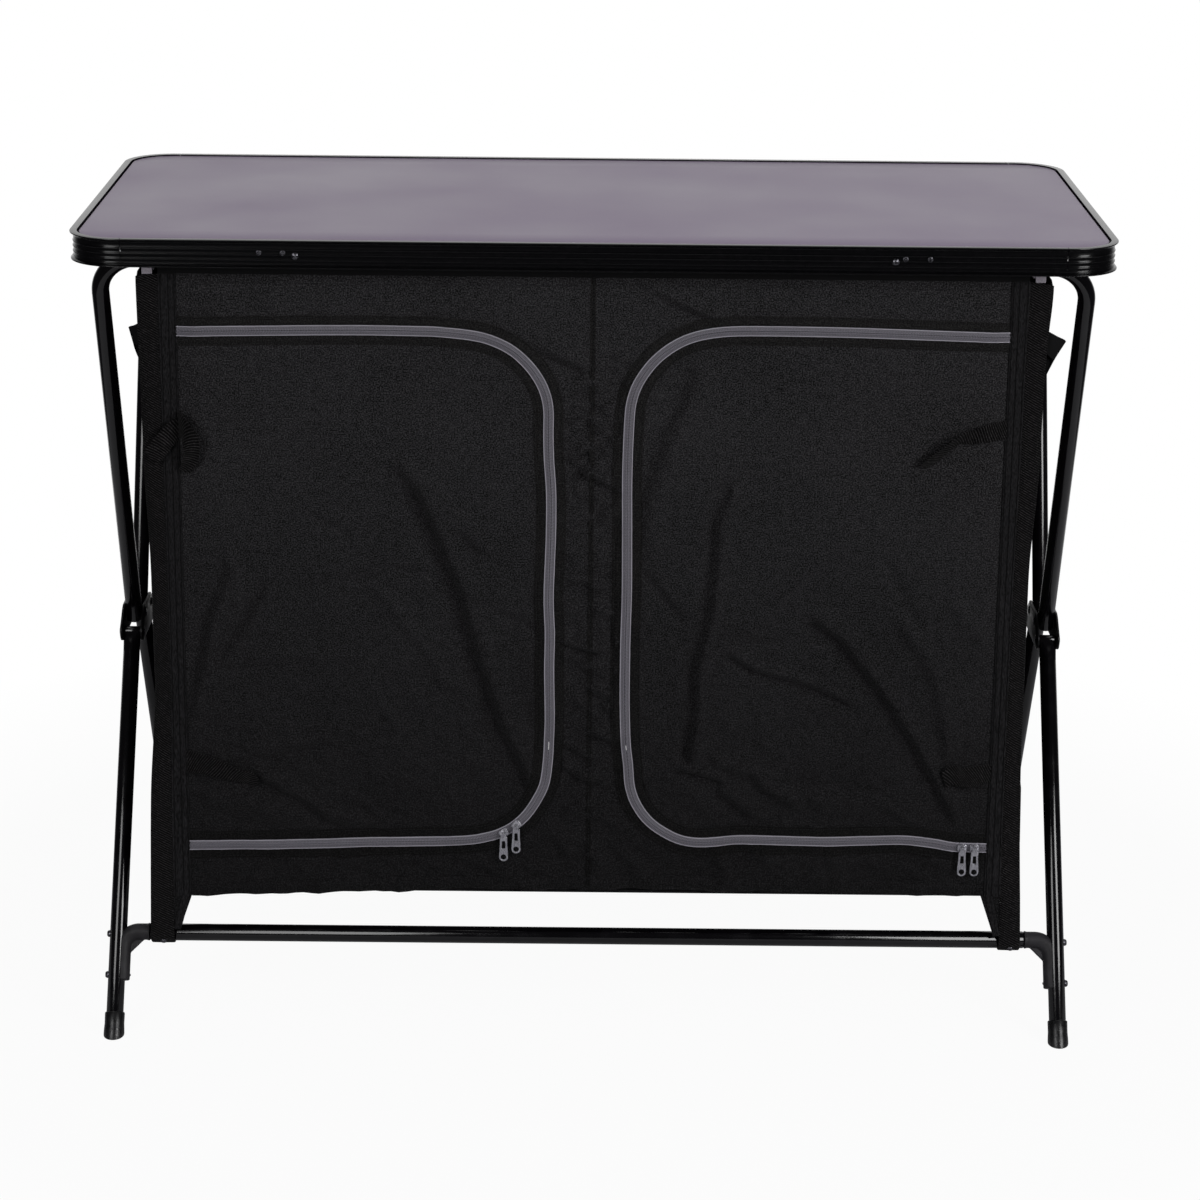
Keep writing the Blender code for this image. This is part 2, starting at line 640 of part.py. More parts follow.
def make_shelf(name, z, half_x):
    """A shelf with a slit at its front edge, where the divider passes."""
    half_y = CLOTH_Y - GAP * 2
    slit = CLOTH_THICKNESS / 2 + GAP
    end = -half_y + GUSSET_WIDTH + GAP
    left = [(-half_x, half_y), (-half_x, -half_y), (-slit, -half_y), (-slit, end)]
    return slab(name, [left + [(-x, y) for x, y in reversed(left)]], CLOTH_THICKNESS, LINING, level(z))


def make_inside():
    half_x = CLOTH_SIDE - CLOTH_THICKNESS - GAP
    names = ("shelf_lower", "shelf_upper")
    shelves = [make_shelf(name, z, half_x) for name, z in zip(names, SHELF_HEIGHTS)]
    floor = make_level("cupboard_floor", HEM_HEIGHT + CLOTH_THICKNESS / 2, half_x)
    return shelves + [floor, make_divider()]


def zip_line(x):
    """Height of a door's zip along its lower run, and how far it turns up there towards the middle."""
    over = DOOR_MIDDLE_MARGIN + DOOR_RADIUS - abs(x)
    turn = math.asin(max(0, over) / DOOR_RADIUS)
    return DOOR_BOTTOM + DOOR_RADIUS * (1 - math.cos(turn)), math.copysign(turn, x)


def make_slider(name, x):
    """A slider that lies along the zip, with a level bridge across its front for the puller."""
    length, depth, height = SLIDER_SIZE
    z, turn = zip_line(x)
    back = -(CLOTH_Y + CLOTH_THICKNESS + GAP)
    front = back - depth
    spot = Matrix.Translation((x, back - depth / 2, z)) @ Matrix.Rotation(turn, 4, "Y")
    half = Vector(SLIDER_SIZE) / 2
    slider = place(name, box_mesh(name, -half, half), ZIP_METAL, spot)
    rounding = slider.modifiers.new("rounding", "BEVEL")
    rounding.width = depth / 4
    rounding.segments = 2
    inner = KNUCKLE_WIDTH / 2 + GAP
    outer = inner + BRIDGE_BAR
    root, crown = front + depth / 2, front - BRIDGE_STAND - BRIDGE_BAR / 2
    right = [(outer, root), (outer, crown)]
    left = [(-outer, crown), (-outer, root), (-inner, root), (-inner, crown + BRIDGE_BAR)]
    arch = [(x + a, b) for a, b in right + left + [(inner, crown + BRIDGE_BAR), (inner, root)]]
    join(slider, slab(name + "_bridge", [arch], BRIDGE_BAR, None, level(z), cutter=True))
    return slider, Vector((x, front - BRIDGE_STAND, z))


def make_puller(name, eye):
    """A flat tab with a ring at its end, hanging from a loop round the slider's bridge."""
    neck, shoulder, wide = KNUCKLE_WIDTH / 2, PULLER_SHOULDER / 2, PULLER_WIDTH / 2
    hole = BRIDGE_BAR * math.sqrt(0.5) + GAP
    ring = (eye.x, eye.z - PULLER_LENGTH + wide)
    left = [(eye.x - neck, eye.z - hole), (eye.x - neck, eye.z - hole * 1.5)]
    left.append((eye.x - shoulder, eye.z - hole * 2.5))
    right = [(2 * eye.x - a, z) for a, z in reversed(left)]
    outline = left + arc(ring, wide, 180, 360) + right
    eyelet = arc(ring, PULLER_HOLE_RADIUS, 0, 345)
    puller = slab(name, [outline, eyelet], PULLER_THICKNESS, ZIP_METAL, upright_front(eye.y))
    reach = Vector((neck, 0, 0))
    inset = Vector((GAP, 0, 0))
    start = eye - reach + inset
    join(puller, cylinder_cutter(name + "_loop", start, (1, 0, 0), KNUCKLE_RADIUS, 2 * (neck - GAP)))
    bore(puller, cylinder_cutter(name + "_hole", eye - reach * 2, (1, 0, 0), hole, neck * 4))
    return puller


# Joint axes


def axis_empty(name, spot, parent=None):
    made = bpy.data.objects.new(name, None)
    PARTS.objects.link(made)
    made.empty_display_size = 0.03
    made.matrix_world = Matrix.Translation(spot)
    carry(made, parent)
    return made


def carry(child, parent):
    """Parents a piece and leaves it where it is."""
    if parent is None:
        return
    bpy.context.view_layer.update()
    child.parent = parent
    child.matrix_parent_inverse = parent.matrix_world.inverted()


def gather(name, spot, pieces, parent=None):
    empty = axis_empty(name, spot, parent)
    for piece in pieces:
        carry(piece, empty)
    return empty


def build_frame():
    bores = {side_x: hub_bores(side_x) for _, side_x in SIDES}
    gather("tabletop_lift", (0, 0, BOARD_BOTTOM), make_tabletop())
    make_hubs(bores)
    carriers = {}
    for word, side in ENDS:
        upper = make_upper_frame(f"upper_{word}", side, bores)
        carriers[word] = gather(f"upper_{word}_axis", mirrored(UPPER_PIVOT, side), upper)
        lower = make_lower_frame(f"lower_{word}", side, bores)
        gather(f"lower_{word}_axis", mirrored(LOWER_PIVOT, side), lower)
    return carriers


def build_zips(carrier):
    left = -(DOOR_MIDDLE_MARGIN + LEFT_SLIDER_PLACE)
    right = DOOR_HINGE - RIGHT_SLIDER_PLACE
    spots = {"left_1": left - SLIDER_PITCH, "left_2": left, "right_1": right - SLIDER_PITCH, "right_2": right}
    for word, x in spots.items():
        slider, eye = make_slider(f"zip_{word}_slider", x)
        track = gather(f"zip_{word}_track", eye, [slider], carrier)
        gather(f"zip_{word}_eye", eye, [make_puller(f"zip_{word}_puller", eye)], track)


def build_cupboard(carriers):
    for word, side_x in SIDES:
        make_side(word, side_x)
    make_inside()
    halves = {}
    for word, side in ENDS:
        upper, lower = make_cloth(word, side)
        hang = gather(f"{word}_cloth_hang", mirrored(UPPER_BAR, side), [upper], carriers[word])
        crease = (0, side * (CLOTH_Y + CLOTH_THICKNESS + CREASE_OUT), CREASE)
        halves[word] = (hang, gather(f"{word}_cloth_crease", crease, [lower], hang))
    hang, lower_front = halves["front"]
    for word, side_x in SIDES:
        hinge = (side_x * DOOR_HINGE, -(CLOTH_Y + CLOTH_THICKNESS), CREASE)
        swing = gather(f"door_{word}_hinge", hinge, [make_door(word, side_x, "upper")], hang)
        crease = (0, -(CLOTH_Y + CLOTH_THICKNESS + CREASE_OUT), CREASE)
        gather(f"door_{word}_crease", crease, [make_door(word, side_x, "lower")], swing)
    build_zips(lower_front)


for old in list(bpy.data.objects):
    bpy.data.objects.remove(old)

SIDES = (("left", -1), ("right", 1))
ENDS = (("front", -1), ("rear", 1))
PARTS = collection("camping_cupboard")
CUTTERS = collection("cutters")
BOARD = material("tabletop_laminate", (0.23, 0.20, 0.25), 0.22)
EDGE_METAL = material("edge_black_aluminium", (0.012, 0.011, 0.014), 0.28, 0.6)
FRAME_PAINT = material("frame_gloss_paint", (0.010, 0.010, 0.012), 0.24)
PIN_STEEL = material("pin_steel", (0.05, 0.05, 0.055), 0.3, 0.9)
ELBOW_PLASTIC = material("elbow_plastic", (0.030, 0.030, 0.033), 0.62)
CLIP_PLASTIC = material("clip_plastic", (0.42, 0.40, 0.43), 0.5)
FOOT_RUBBER = material("foot_rubber", (0.022, 0.022, 0.025), 0.75)
CLOTH = material("woven_polyester", (0.012, 0.012, 0.014), 0.92)
LINING = material("cupboard_lining", (0.020, 0.020, 0.022), 0.92)
ZIP_METAL = material("zip_metal", (0.40, 0.40, 0.42), 0.3, 0.9)

build_cupboard(build_frame())
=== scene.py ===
import json
import math
from contextlib import contextmanager

import bmesh
import bpy
import numpy as np
from mathutils import Matrix, Vector, kdtree, noise
from mathutils.geometry import delaunay_2d_cdt
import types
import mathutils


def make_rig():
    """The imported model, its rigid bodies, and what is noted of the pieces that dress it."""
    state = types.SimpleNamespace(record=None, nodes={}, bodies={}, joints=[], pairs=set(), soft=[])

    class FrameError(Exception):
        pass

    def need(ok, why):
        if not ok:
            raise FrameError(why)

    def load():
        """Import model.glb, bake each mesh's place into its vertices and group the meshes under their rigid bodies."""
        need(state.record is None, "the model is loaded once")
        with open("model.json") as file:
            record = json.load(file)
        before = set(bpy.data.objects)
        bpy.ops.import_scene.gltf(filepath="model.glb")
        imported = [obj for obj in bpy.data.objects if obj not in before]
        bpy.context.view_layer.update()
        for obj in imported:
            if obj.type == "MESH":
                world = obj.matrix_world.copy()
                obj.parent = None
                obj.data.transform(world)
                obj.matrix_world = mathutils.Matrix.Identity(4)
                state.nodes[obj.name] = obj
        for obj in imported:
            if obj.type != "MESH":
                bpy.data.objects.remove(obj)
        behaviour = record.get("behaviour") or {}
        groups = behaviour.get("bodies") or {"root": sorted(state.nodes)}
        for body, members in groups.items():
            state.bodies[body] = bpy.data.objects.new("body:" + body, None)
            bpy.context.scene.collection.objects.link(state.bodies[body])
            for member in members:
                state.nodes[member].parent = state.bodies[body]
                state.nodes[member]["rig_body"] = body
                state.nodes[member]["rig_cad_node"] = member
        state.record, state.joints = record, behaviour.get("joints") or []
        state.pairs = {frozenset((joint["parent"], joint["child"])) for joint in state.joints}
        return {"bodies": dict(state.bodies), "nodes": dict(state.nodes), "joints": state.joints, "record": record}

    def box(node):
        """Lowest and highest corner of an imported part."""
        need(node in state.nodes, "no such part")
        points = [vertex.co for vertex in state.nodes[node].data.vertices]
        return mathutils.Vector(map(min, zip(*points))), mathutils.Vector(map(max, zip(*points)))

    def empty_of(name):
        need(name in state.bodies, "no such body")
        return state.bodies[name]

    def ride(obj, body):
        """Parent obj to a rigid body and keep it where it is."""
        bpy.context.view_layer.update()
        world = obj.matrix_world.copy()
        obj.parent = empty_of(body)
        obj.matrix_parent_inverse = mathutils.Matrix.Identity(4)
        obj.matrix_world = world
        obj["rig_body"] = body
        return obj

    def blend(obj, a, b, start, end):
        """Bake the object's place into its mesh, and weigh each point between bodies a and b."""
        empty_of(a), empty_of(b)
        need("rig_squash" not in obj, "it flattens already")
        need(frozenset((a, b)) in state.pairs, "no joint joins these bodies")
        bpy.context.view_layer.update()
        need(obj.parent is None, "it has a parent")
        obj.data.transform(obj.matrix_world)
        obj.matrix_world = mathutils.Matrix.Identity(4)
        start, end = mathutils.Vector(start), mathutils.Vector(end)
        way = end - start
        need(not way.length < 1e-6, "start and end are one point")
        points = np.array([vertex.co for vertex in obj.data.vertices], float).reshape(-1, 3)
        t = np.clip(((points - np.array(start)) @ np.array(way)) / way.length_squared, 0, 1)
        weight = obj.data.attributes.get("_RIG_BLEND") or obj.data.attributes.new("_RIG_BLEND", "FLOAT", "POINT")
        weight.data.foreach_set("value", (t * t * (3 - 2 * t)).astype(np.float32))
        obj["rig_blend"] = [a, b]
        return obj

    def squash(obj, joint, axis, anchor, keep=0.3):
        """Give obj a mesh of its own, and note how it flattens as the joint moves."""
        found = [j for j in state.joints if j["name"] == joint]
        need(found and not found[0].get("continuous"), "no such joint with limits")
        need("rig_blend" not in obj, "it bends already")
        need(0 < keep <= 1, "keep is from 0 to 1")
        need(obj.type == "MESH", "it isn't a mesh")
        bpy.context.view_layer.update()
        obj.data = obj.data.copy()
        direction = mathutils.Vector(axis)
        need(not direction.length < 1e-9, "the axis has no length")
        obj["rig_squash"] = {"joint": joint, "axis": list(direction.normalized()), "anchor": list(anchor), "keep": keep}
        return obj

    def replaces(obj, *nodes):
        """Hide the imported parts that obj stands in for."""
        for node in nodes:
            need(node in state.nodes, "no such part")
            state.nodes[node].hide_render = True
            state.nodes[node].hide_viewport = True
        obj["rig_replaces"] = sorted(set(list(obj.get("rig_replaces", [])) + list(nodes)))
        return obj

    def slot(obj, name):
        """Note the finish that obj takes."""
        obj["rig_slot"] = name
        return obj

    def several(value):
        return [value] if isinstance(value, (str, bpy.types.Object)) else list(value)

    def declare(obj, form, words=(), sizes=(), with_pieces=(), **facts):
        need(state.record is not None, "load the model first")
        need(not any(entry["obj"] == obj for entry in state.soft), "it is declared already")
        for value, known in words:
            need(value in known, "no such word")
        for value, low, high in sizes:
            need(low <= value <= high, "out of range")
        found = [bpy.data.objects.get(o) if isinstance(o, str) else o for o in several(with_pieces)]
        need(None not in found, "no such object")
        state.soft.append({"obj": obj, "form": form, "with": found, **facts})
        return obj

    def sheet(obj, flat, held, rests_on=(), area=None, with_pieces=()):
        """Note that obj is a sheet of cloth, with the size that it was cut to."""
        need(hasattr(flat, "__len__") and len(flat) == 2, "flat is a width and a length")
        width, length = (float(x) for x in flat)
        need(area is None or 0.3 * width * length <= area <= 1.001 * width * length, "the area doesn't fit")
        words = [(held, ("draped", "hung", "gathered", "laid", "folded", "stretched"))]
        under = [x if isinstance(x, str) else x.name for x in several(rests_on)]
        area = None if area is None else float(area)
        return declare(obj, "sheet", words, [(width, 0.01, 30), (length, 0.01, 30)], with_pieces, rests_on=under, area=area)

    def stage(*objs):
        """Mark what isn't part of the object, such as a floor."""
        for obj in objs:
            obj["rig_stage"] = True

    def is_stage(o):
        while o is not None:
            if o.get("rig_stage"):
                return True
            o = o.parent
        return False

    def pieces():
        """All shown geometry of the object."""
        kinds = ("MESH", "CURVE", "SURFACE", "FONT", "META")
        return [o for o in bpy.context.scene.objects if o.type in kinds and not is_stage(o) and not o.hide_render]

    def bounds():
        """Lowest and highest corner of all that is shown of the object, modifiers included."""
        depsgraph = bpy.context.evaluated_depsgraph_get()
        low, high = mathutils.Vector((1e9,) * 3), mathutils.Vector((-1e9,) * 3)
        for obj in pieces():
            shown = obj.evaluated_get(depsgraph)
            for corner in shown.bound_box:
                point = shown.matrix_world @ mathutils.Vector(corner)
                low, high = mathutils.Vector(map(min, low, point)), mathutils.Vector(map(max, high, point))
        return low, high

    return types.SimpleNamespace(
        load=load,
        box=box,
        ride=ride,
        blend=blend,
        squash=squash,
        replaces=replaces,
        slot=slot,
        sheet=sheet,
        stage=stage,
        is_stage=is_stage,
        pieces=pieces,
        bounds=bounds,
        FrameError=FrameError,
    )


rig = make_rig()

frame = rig.load()
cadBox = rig.bounds()

# Camera, fitted to points of the tabletop, the legs and the cupboard
view = {"lens": 96.51, "sensor": 36, "shift": -0.0833, "place": (-0.0040, -3.2049, 1.4090),
        "pitch": 15.95, "yaw": -0.23, "roll": 0.63, "far": 60}


def inScene(name, data):
    made = bpy.data.objects.new(name, data)
    bpy.context.scene.collection.objects.link(made)
    return made


def makeCamera():
    lens = bpy.data.cameras.new("photoCamera")
    lens.sensor_width, lens.lens = view["sensor"], view["lens"]
    lens.shift_y, lens.clip_end = view["shift"], view["far"]
    seat = inScene("photoCamera", lens)
    turn = Matrix.Identity(4)
    for degrees, axis in ((view["yaw"], "Z"), (90 - view["pitch"], "X"), (view["roll"], "Z")):
        turn = turn @ Matrix.Rotation(math.radians(degrees), 4, axis)
    seat.matrix_world = Matrix.Translation(view["place"]) @ turn
    bpy.context.scene.camera = seat


# Node maths: a wire is one socket, a tree adds nodes, a look is one material
class Wire:
    def __init__(self, tree, socket):
        self.tree, self.socket = tree, socket

    def maths(self, operation, first, second=0.0):
        return self.tree.add("ShaderNodeMath", {"operation": operation}, {0: first, 1: second})

    def __add__(self, other):
        return self.maths("ADD", self, other)

    def __sub__(self, other):
        return self.maths("SUBTRACT", self, other)

    def __rsub__(self, other):
        return self.maths("SUBTRACT", other, self)

    def __mul__(self, other):
        return self.maths("MULTIPLY", self, other)

    def sine(self):
        return self.maths("SINE", self)

    def size(self):
        return self.maths("ABSOLUTE", self)


def tone(red, green, blue):  # 0 to 255, as a screen shows it
    parts = [c / 255 for c in (red, green, blue)]
    return tuple(c / 12.92 if c <= 0.04045 else ((c + 0.055) / 1.055) ** 2.4 for c in parts) + (1,)


class NodeTree:
    def __init__(self, tree):
        self.tree, self.nodes, self.links = tree, tree.nodes, tree.links

    def add(self, kind, settings=None, inputs=None, output=0):
        node = self.nodes.new(kind)
        for label, value in (settings or {}).items():
            setattr(node, label, value)
        for label, value in (inputs or {}).items():
            self.feed(node.inputs[label], value)
        return Wire(self, node.outputs[output])

    def feed(self, socket, value):
        if isinstance(value, Wire):
            self.links.new(value.socket, socket)
        else:
            socket.default_value = value

    def at(self, kind="Object", scale=(1, 1, 1)):  # where on the piece, stretched
        spot = self.add("ShaderNodeTexCoord", output=kind)
        return self.add("ShaderNodeVectorMath", {"operation": "MULTIPLY"}, {0: spot, 1: scale})

    def part(self, spot, axis):
        return self.add("ShaderNodeSeparateXYZ", None, {0: spot}, axis)

    def noise(self, spot, scale, detail=2.0, roughness=0.5):
        sizes = {"Vector": spot, "Scale": scale, "Detail": detail, "Roughness": roughness}
        return self.add("ShaderNodeTexNoise", {"noise_dimensions": "3D"}, sizes, "Fac")

    def ramp(self, value, low, high, first=0.0, last=1.0):
        sizes = {"Value": value, "From Min": low, "From Max": high, "To Min": first, "To Max": last}
        return self.add("ShaderNodeMapRange", {"clamp": True}, sizes)

    def mix(self, share, first, second):
        return self.add("ShaderNodeMix", {"data_type": "RGBA"}, {0: share, 6: first, 7: second}, 2)


class Look(NodeTree):
    def __init__(self, name, slot, **fixed):
        self.slot, self.material = slot, bpy.data.materials.new(name)
        self.material.use_nodes = True
        super().__init__(self.material.node_tree)
        self.shader = self.nodes["Principled BSDF"]
        self.set(**fixed)

    def set(self, **inputs):
        for label, value in inputs.items():
            self.feed(self.shader.inputs[label.replace("_", " ")], value)

    def dress(self, colour, wear, rough, height, depth):  # roughness follows wear, bump follows height
        bump = self.add("ShaderNodeBump", None, {"Height": height, "Distance": depth, "Strength": 1.0})
        self.set(Base_Color=colour, Roughness=self.ramp(wear, 0.3, 0.7, *rough), Normal=bump)
        return self


# Plain looks: noises (scale, detail) for the colour, the roughness and the bump, with the colour's span of its noise
plainLooks = {
    "paint": {"name": "glossBlackPaint", "slot": "frame_paint", "shine": 0.5, "wear": (38, 4), "span": (0.5, 0.75),
              "dark": (5, 4, 6), "light": (13, 12, 15), "rough": (0.10, 0.17), "skin": (90, 2), "deep": 0.00006},
    "hub": {"name": "hubPaint", "slot": "frame_paint", "shine": 0.2, "wear": (60, 3), "span": (0.4, 0.7),
            "dark": (4, 4, 5), "light": (10, 10, 12), "gloss": (300, 2), "rough": (0.28, 0.4), "skin": (200, 2),
            "deep": 0.00004},
    "rivet": {"name": "rivetSteel", "slot": "pin_steel", "metal": 0.9, "wear": (700, 3), "span": (0.45, 0.7),
              "dark": (62, 61, 66), "light": (128, 127, 133), "rough": (0.22, 0.4), "deep": 0.00006},
    "elbow": {"name": "elbowPlastic", "slot": "elbow_plastic", "shine": 0.22, "wear": (60, 2), "span": (0.4, 0.7),
              "dark": (32, 31, 33), "light": (43, 42, 45), "gloss": (1100, 2), "rough": (0.42, 0.6), "deep": 0.00022},
    "clip": {"name": "clipPlastic", "slot": "clip_plastic", "shine": 0.3, "wear": (1200, 2), "span": (0.4, 0.65),
             "dark": (142, 136, 145), "light": (164, 158, 167), "rough": (0.42, 0.55), "deep": 0.00008},
    # sleeve: near-black cloth, painted shade: it stands in for the shade under the tabletop's edge and on the side
    # loops
    "sleeve": {"name": "sleeveCloth", "slot": "cloth", "shine": 0.15, "wear": (60, 3), "span": (0.35, 0.7),
               "dark": (5, 5, 6), "light": (11, 11, 12), "rough": (0.8, 0.9), "deep": 0.0006},
    "thread": {"name": "blackThread", "slot": "cloth", "shine": 0.15, "wear": (2600, 2), "span": (0, 1),
               "dark": (4, 4, 5), "light": (20, 20, 21), "rough": (0.5, 0.75), "deep": 0.00005},
    "coil": {"name": "zipCoil", "slot": "lining", "shine": 0.5, "wear": (1500, 2), "span": (0, 1),
             "dark": (70, 68, 75), "light": (132, 129, 138), "rough": (0.3, 0.45), "deep": 0.00004},
    "zipMetal": {"name": "zipMetal", "slot": "zip_metal", "metal": 0.9, "stretch": 0.12, "wear": (1800, 3),
                 "span": (0.4, 0.65), "dark": (150, 149, 156), "light": (192, 191, 198), "rough": (0.2, 0.38),
                 "deep": 0.00004}}


def makePlainLook(plain):
    shine = {"Metallic": plain["metal"]} if "metal" in plain else {"Specular_IOR_Level": plain["shine"]}
    look = Look(plain["name"], plain["slot"], **shine)
    spot = look.at(scale=(1, 1, plain.get("stretch", 1)))
    wear = look.noise(spot, *plain["wear"])
    gloss = look.noise(spot, *plain["gloss"]) if "gloss" in plain else wear
    skin = look.noise(spot, *plain["skin"]) if "skin" in plain else gloss
    colour = look.mix(look.ramp(wear, *plain["span"]), tone(*plain["dark"]), tone(*plain["light"]))
    return look.dress(colour, gloss, plain["rough"], skin, plain["deep"])


def makeLooks():
    looks = {name: makePlainLook(plain) for name, plain in plainLooks.items()}
    # Tabletop laminate: mauve grey, faint clouds and a fine stipple
    look = Look("laminateBoard", "board", Specular_IOR_Level=0.22)
    spot = look.at()
    cloud = look.noise(spot, 6, 3)
    base = look.mix(look.ramp(cloud, 0.35, 0.65), tone(96, 77, 107), tone(105, 86, 116))
    base = look.mix(look.ramp(look.noise(spot, 900, 2), 0.3, 0.7) * 0.25, base, tone(128, 110, 138))
    looks["board"] = look.dress(base, cloud, (0.30, 0.38), look.noise(spot, 420, 2), 0.00003)
    # Edge: black anodised aluminium with lengthwise die lines
    look = Look("blackAluminiumEdge", "edge", Specular_IOR_Level=0.3)
    lines = look.noise(look.at(scale=(3, 3, 2200)), 1, 2)
    dust = look.ramp(look.noise(look.at(), 260, 3), 0.45, 0.75)
    looks["edge"] = look.dress(look.mix(dust, tone(4, 4, 5), tone(10, 9, 11)), lines, (0.14, 0.24), lines, 0.00003)
    # Feet: dark rubber with a soft gloss, dustier low down
    look = Look("footRubber", "foot_rubber", Specular_IOR_Level=0.4)
    spot = look.at()
    dust = look.ramp(look.part(spot, 2), 0.0, 0.012, 1.0, 0.0) * look.noise(spot, 180, 3)
    base = look.mix(dust, tone(12, 12, 13), tone(34, 33, 35))
    looks["foot"] = look.dress(base, look.noise(spot, 240, 2), (0.24, 0.42), look.noise(spot, 700, 2), 0.00012)
    # Oxford weave: over and under threads, grey flecks, soft rubbed patches; painted shade makes all three looks darker
    # towards the hem, where less lamp light falls
    # the facing is a darker copy of the weave: painted shade where the cloth dips under the zip tapes and along the
    # middle seam
    for name, label, slot, dark, light in (("cloth", "wovenPolyester", "cloth", tone(1, 1, 1), tone(62, 60, 61)),
                                           ("facing", "facingCloth", "cloth", tone(1, 1, 1), tone(44, 43, 43)),
                                           ("lining", "cupboardLining", "lining", tone(10, 10, 12), tone(72, 71, 76))):
        look = Look(label, slot, Sheen_Weight=0.02, Sheen_Roughness=0.5, Specular_IOR_Level=0.06)
        spot, height = look.at("UV"), look.part(look.at(), 2)
        weave = (look.part(spot, 0) * 6200).sine() * (look.part(spot, 1) * 6200).sine()
        fleck, patch = look.noise(spot, 720, 2, 0.65), look.noise(spot, 130, 3, 0.6)
        share = look.ramp(fleck, 0.45, 0.64) * 0.76 + look.ramp(patch, 0.3, 0.7) * 0.2
        share = share + look.ramp(look.noise(spot, 9, 3), 0.35, 0.7) * 0.08
        if name == "cloth":
            light = look.mix(look.noise(spot, 520, 1), tone(54, 54, 57), light)
        crinkle = (look.noise(spot, 60, 4, 0.6) - 0.5).size() * look.ramp(height, 0.25, 0.55, 1.0, 0.25)
        # painted shade: the colour darkens from z 0.62 down to 0.14, standing in for lamp light that falls off lower
        # down
        colour = look.mix(share * look.ramp(height, 0.14, 0.62, 0.42, 1.0), dark, light)
        looks[name] = look.dress(colour, patch, (0.82, 0.94), weave * 0.05 + fleck * 0.12 + crinkle * -7.0, 0.0009)
    # Webbing: slanting ribs, lighter grey on their tops and darker between
    look = Look("ribbedWebbing", "cloth", Sheen_Weight=0.02, Specular_IOR_Level=0.06)
    spot = look.at("UV")
    rib = (look.part(spot, 1) * 2500 + look.part(spot, 0) * 1300).sine()
    fleck = look.noise(look.at(), 560, 3, 0.7)
    share = look.ramp(rib, -0.1, 0.9) * 0.6 + look.ramp(fleck, 0.47, 0.62) * 0.4
    colour = look.mix(share * share, tone(0, 0, 0), tone(52, 50, 51))
    looks["webbing"] = look.dress(colour, fleck, (0.75, 0.92), rib * 0.8 + fleck * 0.6, 0.0004)
    # Seam binding: smoother tape
    look = Look("seamBinding", "cloth", Sheen_Weight=0.02, Specular_IOR_Level=0.06)
    fleck = look.noise(look.at(scale=(1, 1, 0.3)), 900, 3, 0.6)
    base = look.mix(look.ramp(fleck, 0.35, 0.75), tone(3, 3, 3), tone(40, 39, 41))
    looks["binding"] = look.dress(base, fleck, (0.7, 0.88), fleck, 0.0002)
    # Zip tape: grey woven tape; the raised bead at its edge is painted pale, a painted highlight
    look = Look("zipTape", "lining", Specular_IOR_Level=0.35)
    spot, fleck = look.at("UV"), look.noise(look.at(), 1100, 2, 0.7)
    across = look.part(spot, 0)
    herring = (look.part(spot, 1) * 4200 + (across * 1700).sine() * 2).sine()
    share = look.ramp(herring, -1, 1) * 0.5 + look.ramp(fleck, 0.3, 0.7) * 0.3
    # painted highlight: pale colour on the raised bead, where light catches it
    bead = look.ramp((across - 0.0046).size(), 0.0007, 0.0003)
    colour = look.mix(bead, look.mix(share, tone(54, 52, 57), tone(120, 117, 126)), tone(150, 147, 156))
    looks["tape"] = look.dress(colour, fleck, (0.55, 0.75), herring, 0.0001)
    return looks


# Mesh helpers
def link(name, data, look):
    piece = inScene(name, data)
    data.materials.clear()
    if look:
        data.materials.append(look.material)
        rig.slot(piece, look.slot)
    return piece


def shade(piece, angle):
    piece.data.shade_smooth()
    piece.data.set_sharp_from_angle(angle=math.radians(angle))
    return piece


@contextmanager
def editing(data):
    bm = bmesh.new()
    bm.from_mesh(data)
    yield bm
    bm.to_mesh(data)
    bm.free()


def build(name, points, faces, look, uv=None, angle=38, turnOut=True):
    data = bpy.data.meshes.new(name)
    data.from_pydata([tuple(p) for p in points], [], faces)
    if uv is not None:
        layer = data.uv_layers.new(name="UVMap")
        for loop in data.loops:
            layer.data[loop.index].uv = uv[loop.vertex_index]
    if turnOut:
        with editing(data) as bm:
            bmesh.ops.recalc_face_normals(bm, faces=bm.faces)
    return shade(link(name, data, look), angle)


def applied(piece, angle=None):  # the modifiers' result becomes the mesh
    graph = bpy.context.evaluated_depsgraph_get()
    data = bpy.data.meshes.new_from_object(piece.evaluated_get(graph))
    piece.modifiers.clear()
    piece.data = data
    return shade(piece, angle) if angle else piece


def joined(name, pieces):
    bm = bmesh.new()
    for piece in pieces:
        bm.from_mesh(piece.data)
    data = pieces[0].data.copy()
    bm.to_mesh(data)
    bm.free()
    slot = pieces[0].get("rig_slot")
    for piece in pieces:
        bpy.data.objects.remove(piece)
    made = inScene(name, data)
    if slot:
        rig.slot(made, slot)
    return made


def settle(piece, body, *nodes):
    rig.ride(piece, body)
    if nodes:
        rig.replaces(piece, *nodes)
    return piece


def turnPoints(centre, radius, start, end, steps):
    turns = [math.radians(start + (end - start) * i / steps) for i in range(steps + 1)]
    return [(centre[0] + radius * math.cos(a), centre[1] + radius * math.sin(a)) for a in turns]


def fillet(points, radius, steps=3, closed=True):  # rounds the corners of a flat outline
    made = []
    count = len(points)
    for i, here in enumerate(points):
        here = Vector(here[:2])
        if not closed and i in (0, count - 1):
            made.append(tuple(here))
            continue
        before, after = Vector(points[i - 1][:2]) - here, Vector(points[(i + 1) % count][:2]) - here
        angle = before.angle(after, math.pi)
        reach = min(radius / max(math.tan(angle / 2), 1e-6), before.length * 0.48, after.length * 0.48)
        first, last = here + before.normalized() * reach, here + after.normalized() * reach
        for k in range(steps + 1):
            t = k / steps
            made.append(tuple(first * (1 - t) ** 2 + here * 2 * t * (1 - t) + last * t ** 2))
    return made


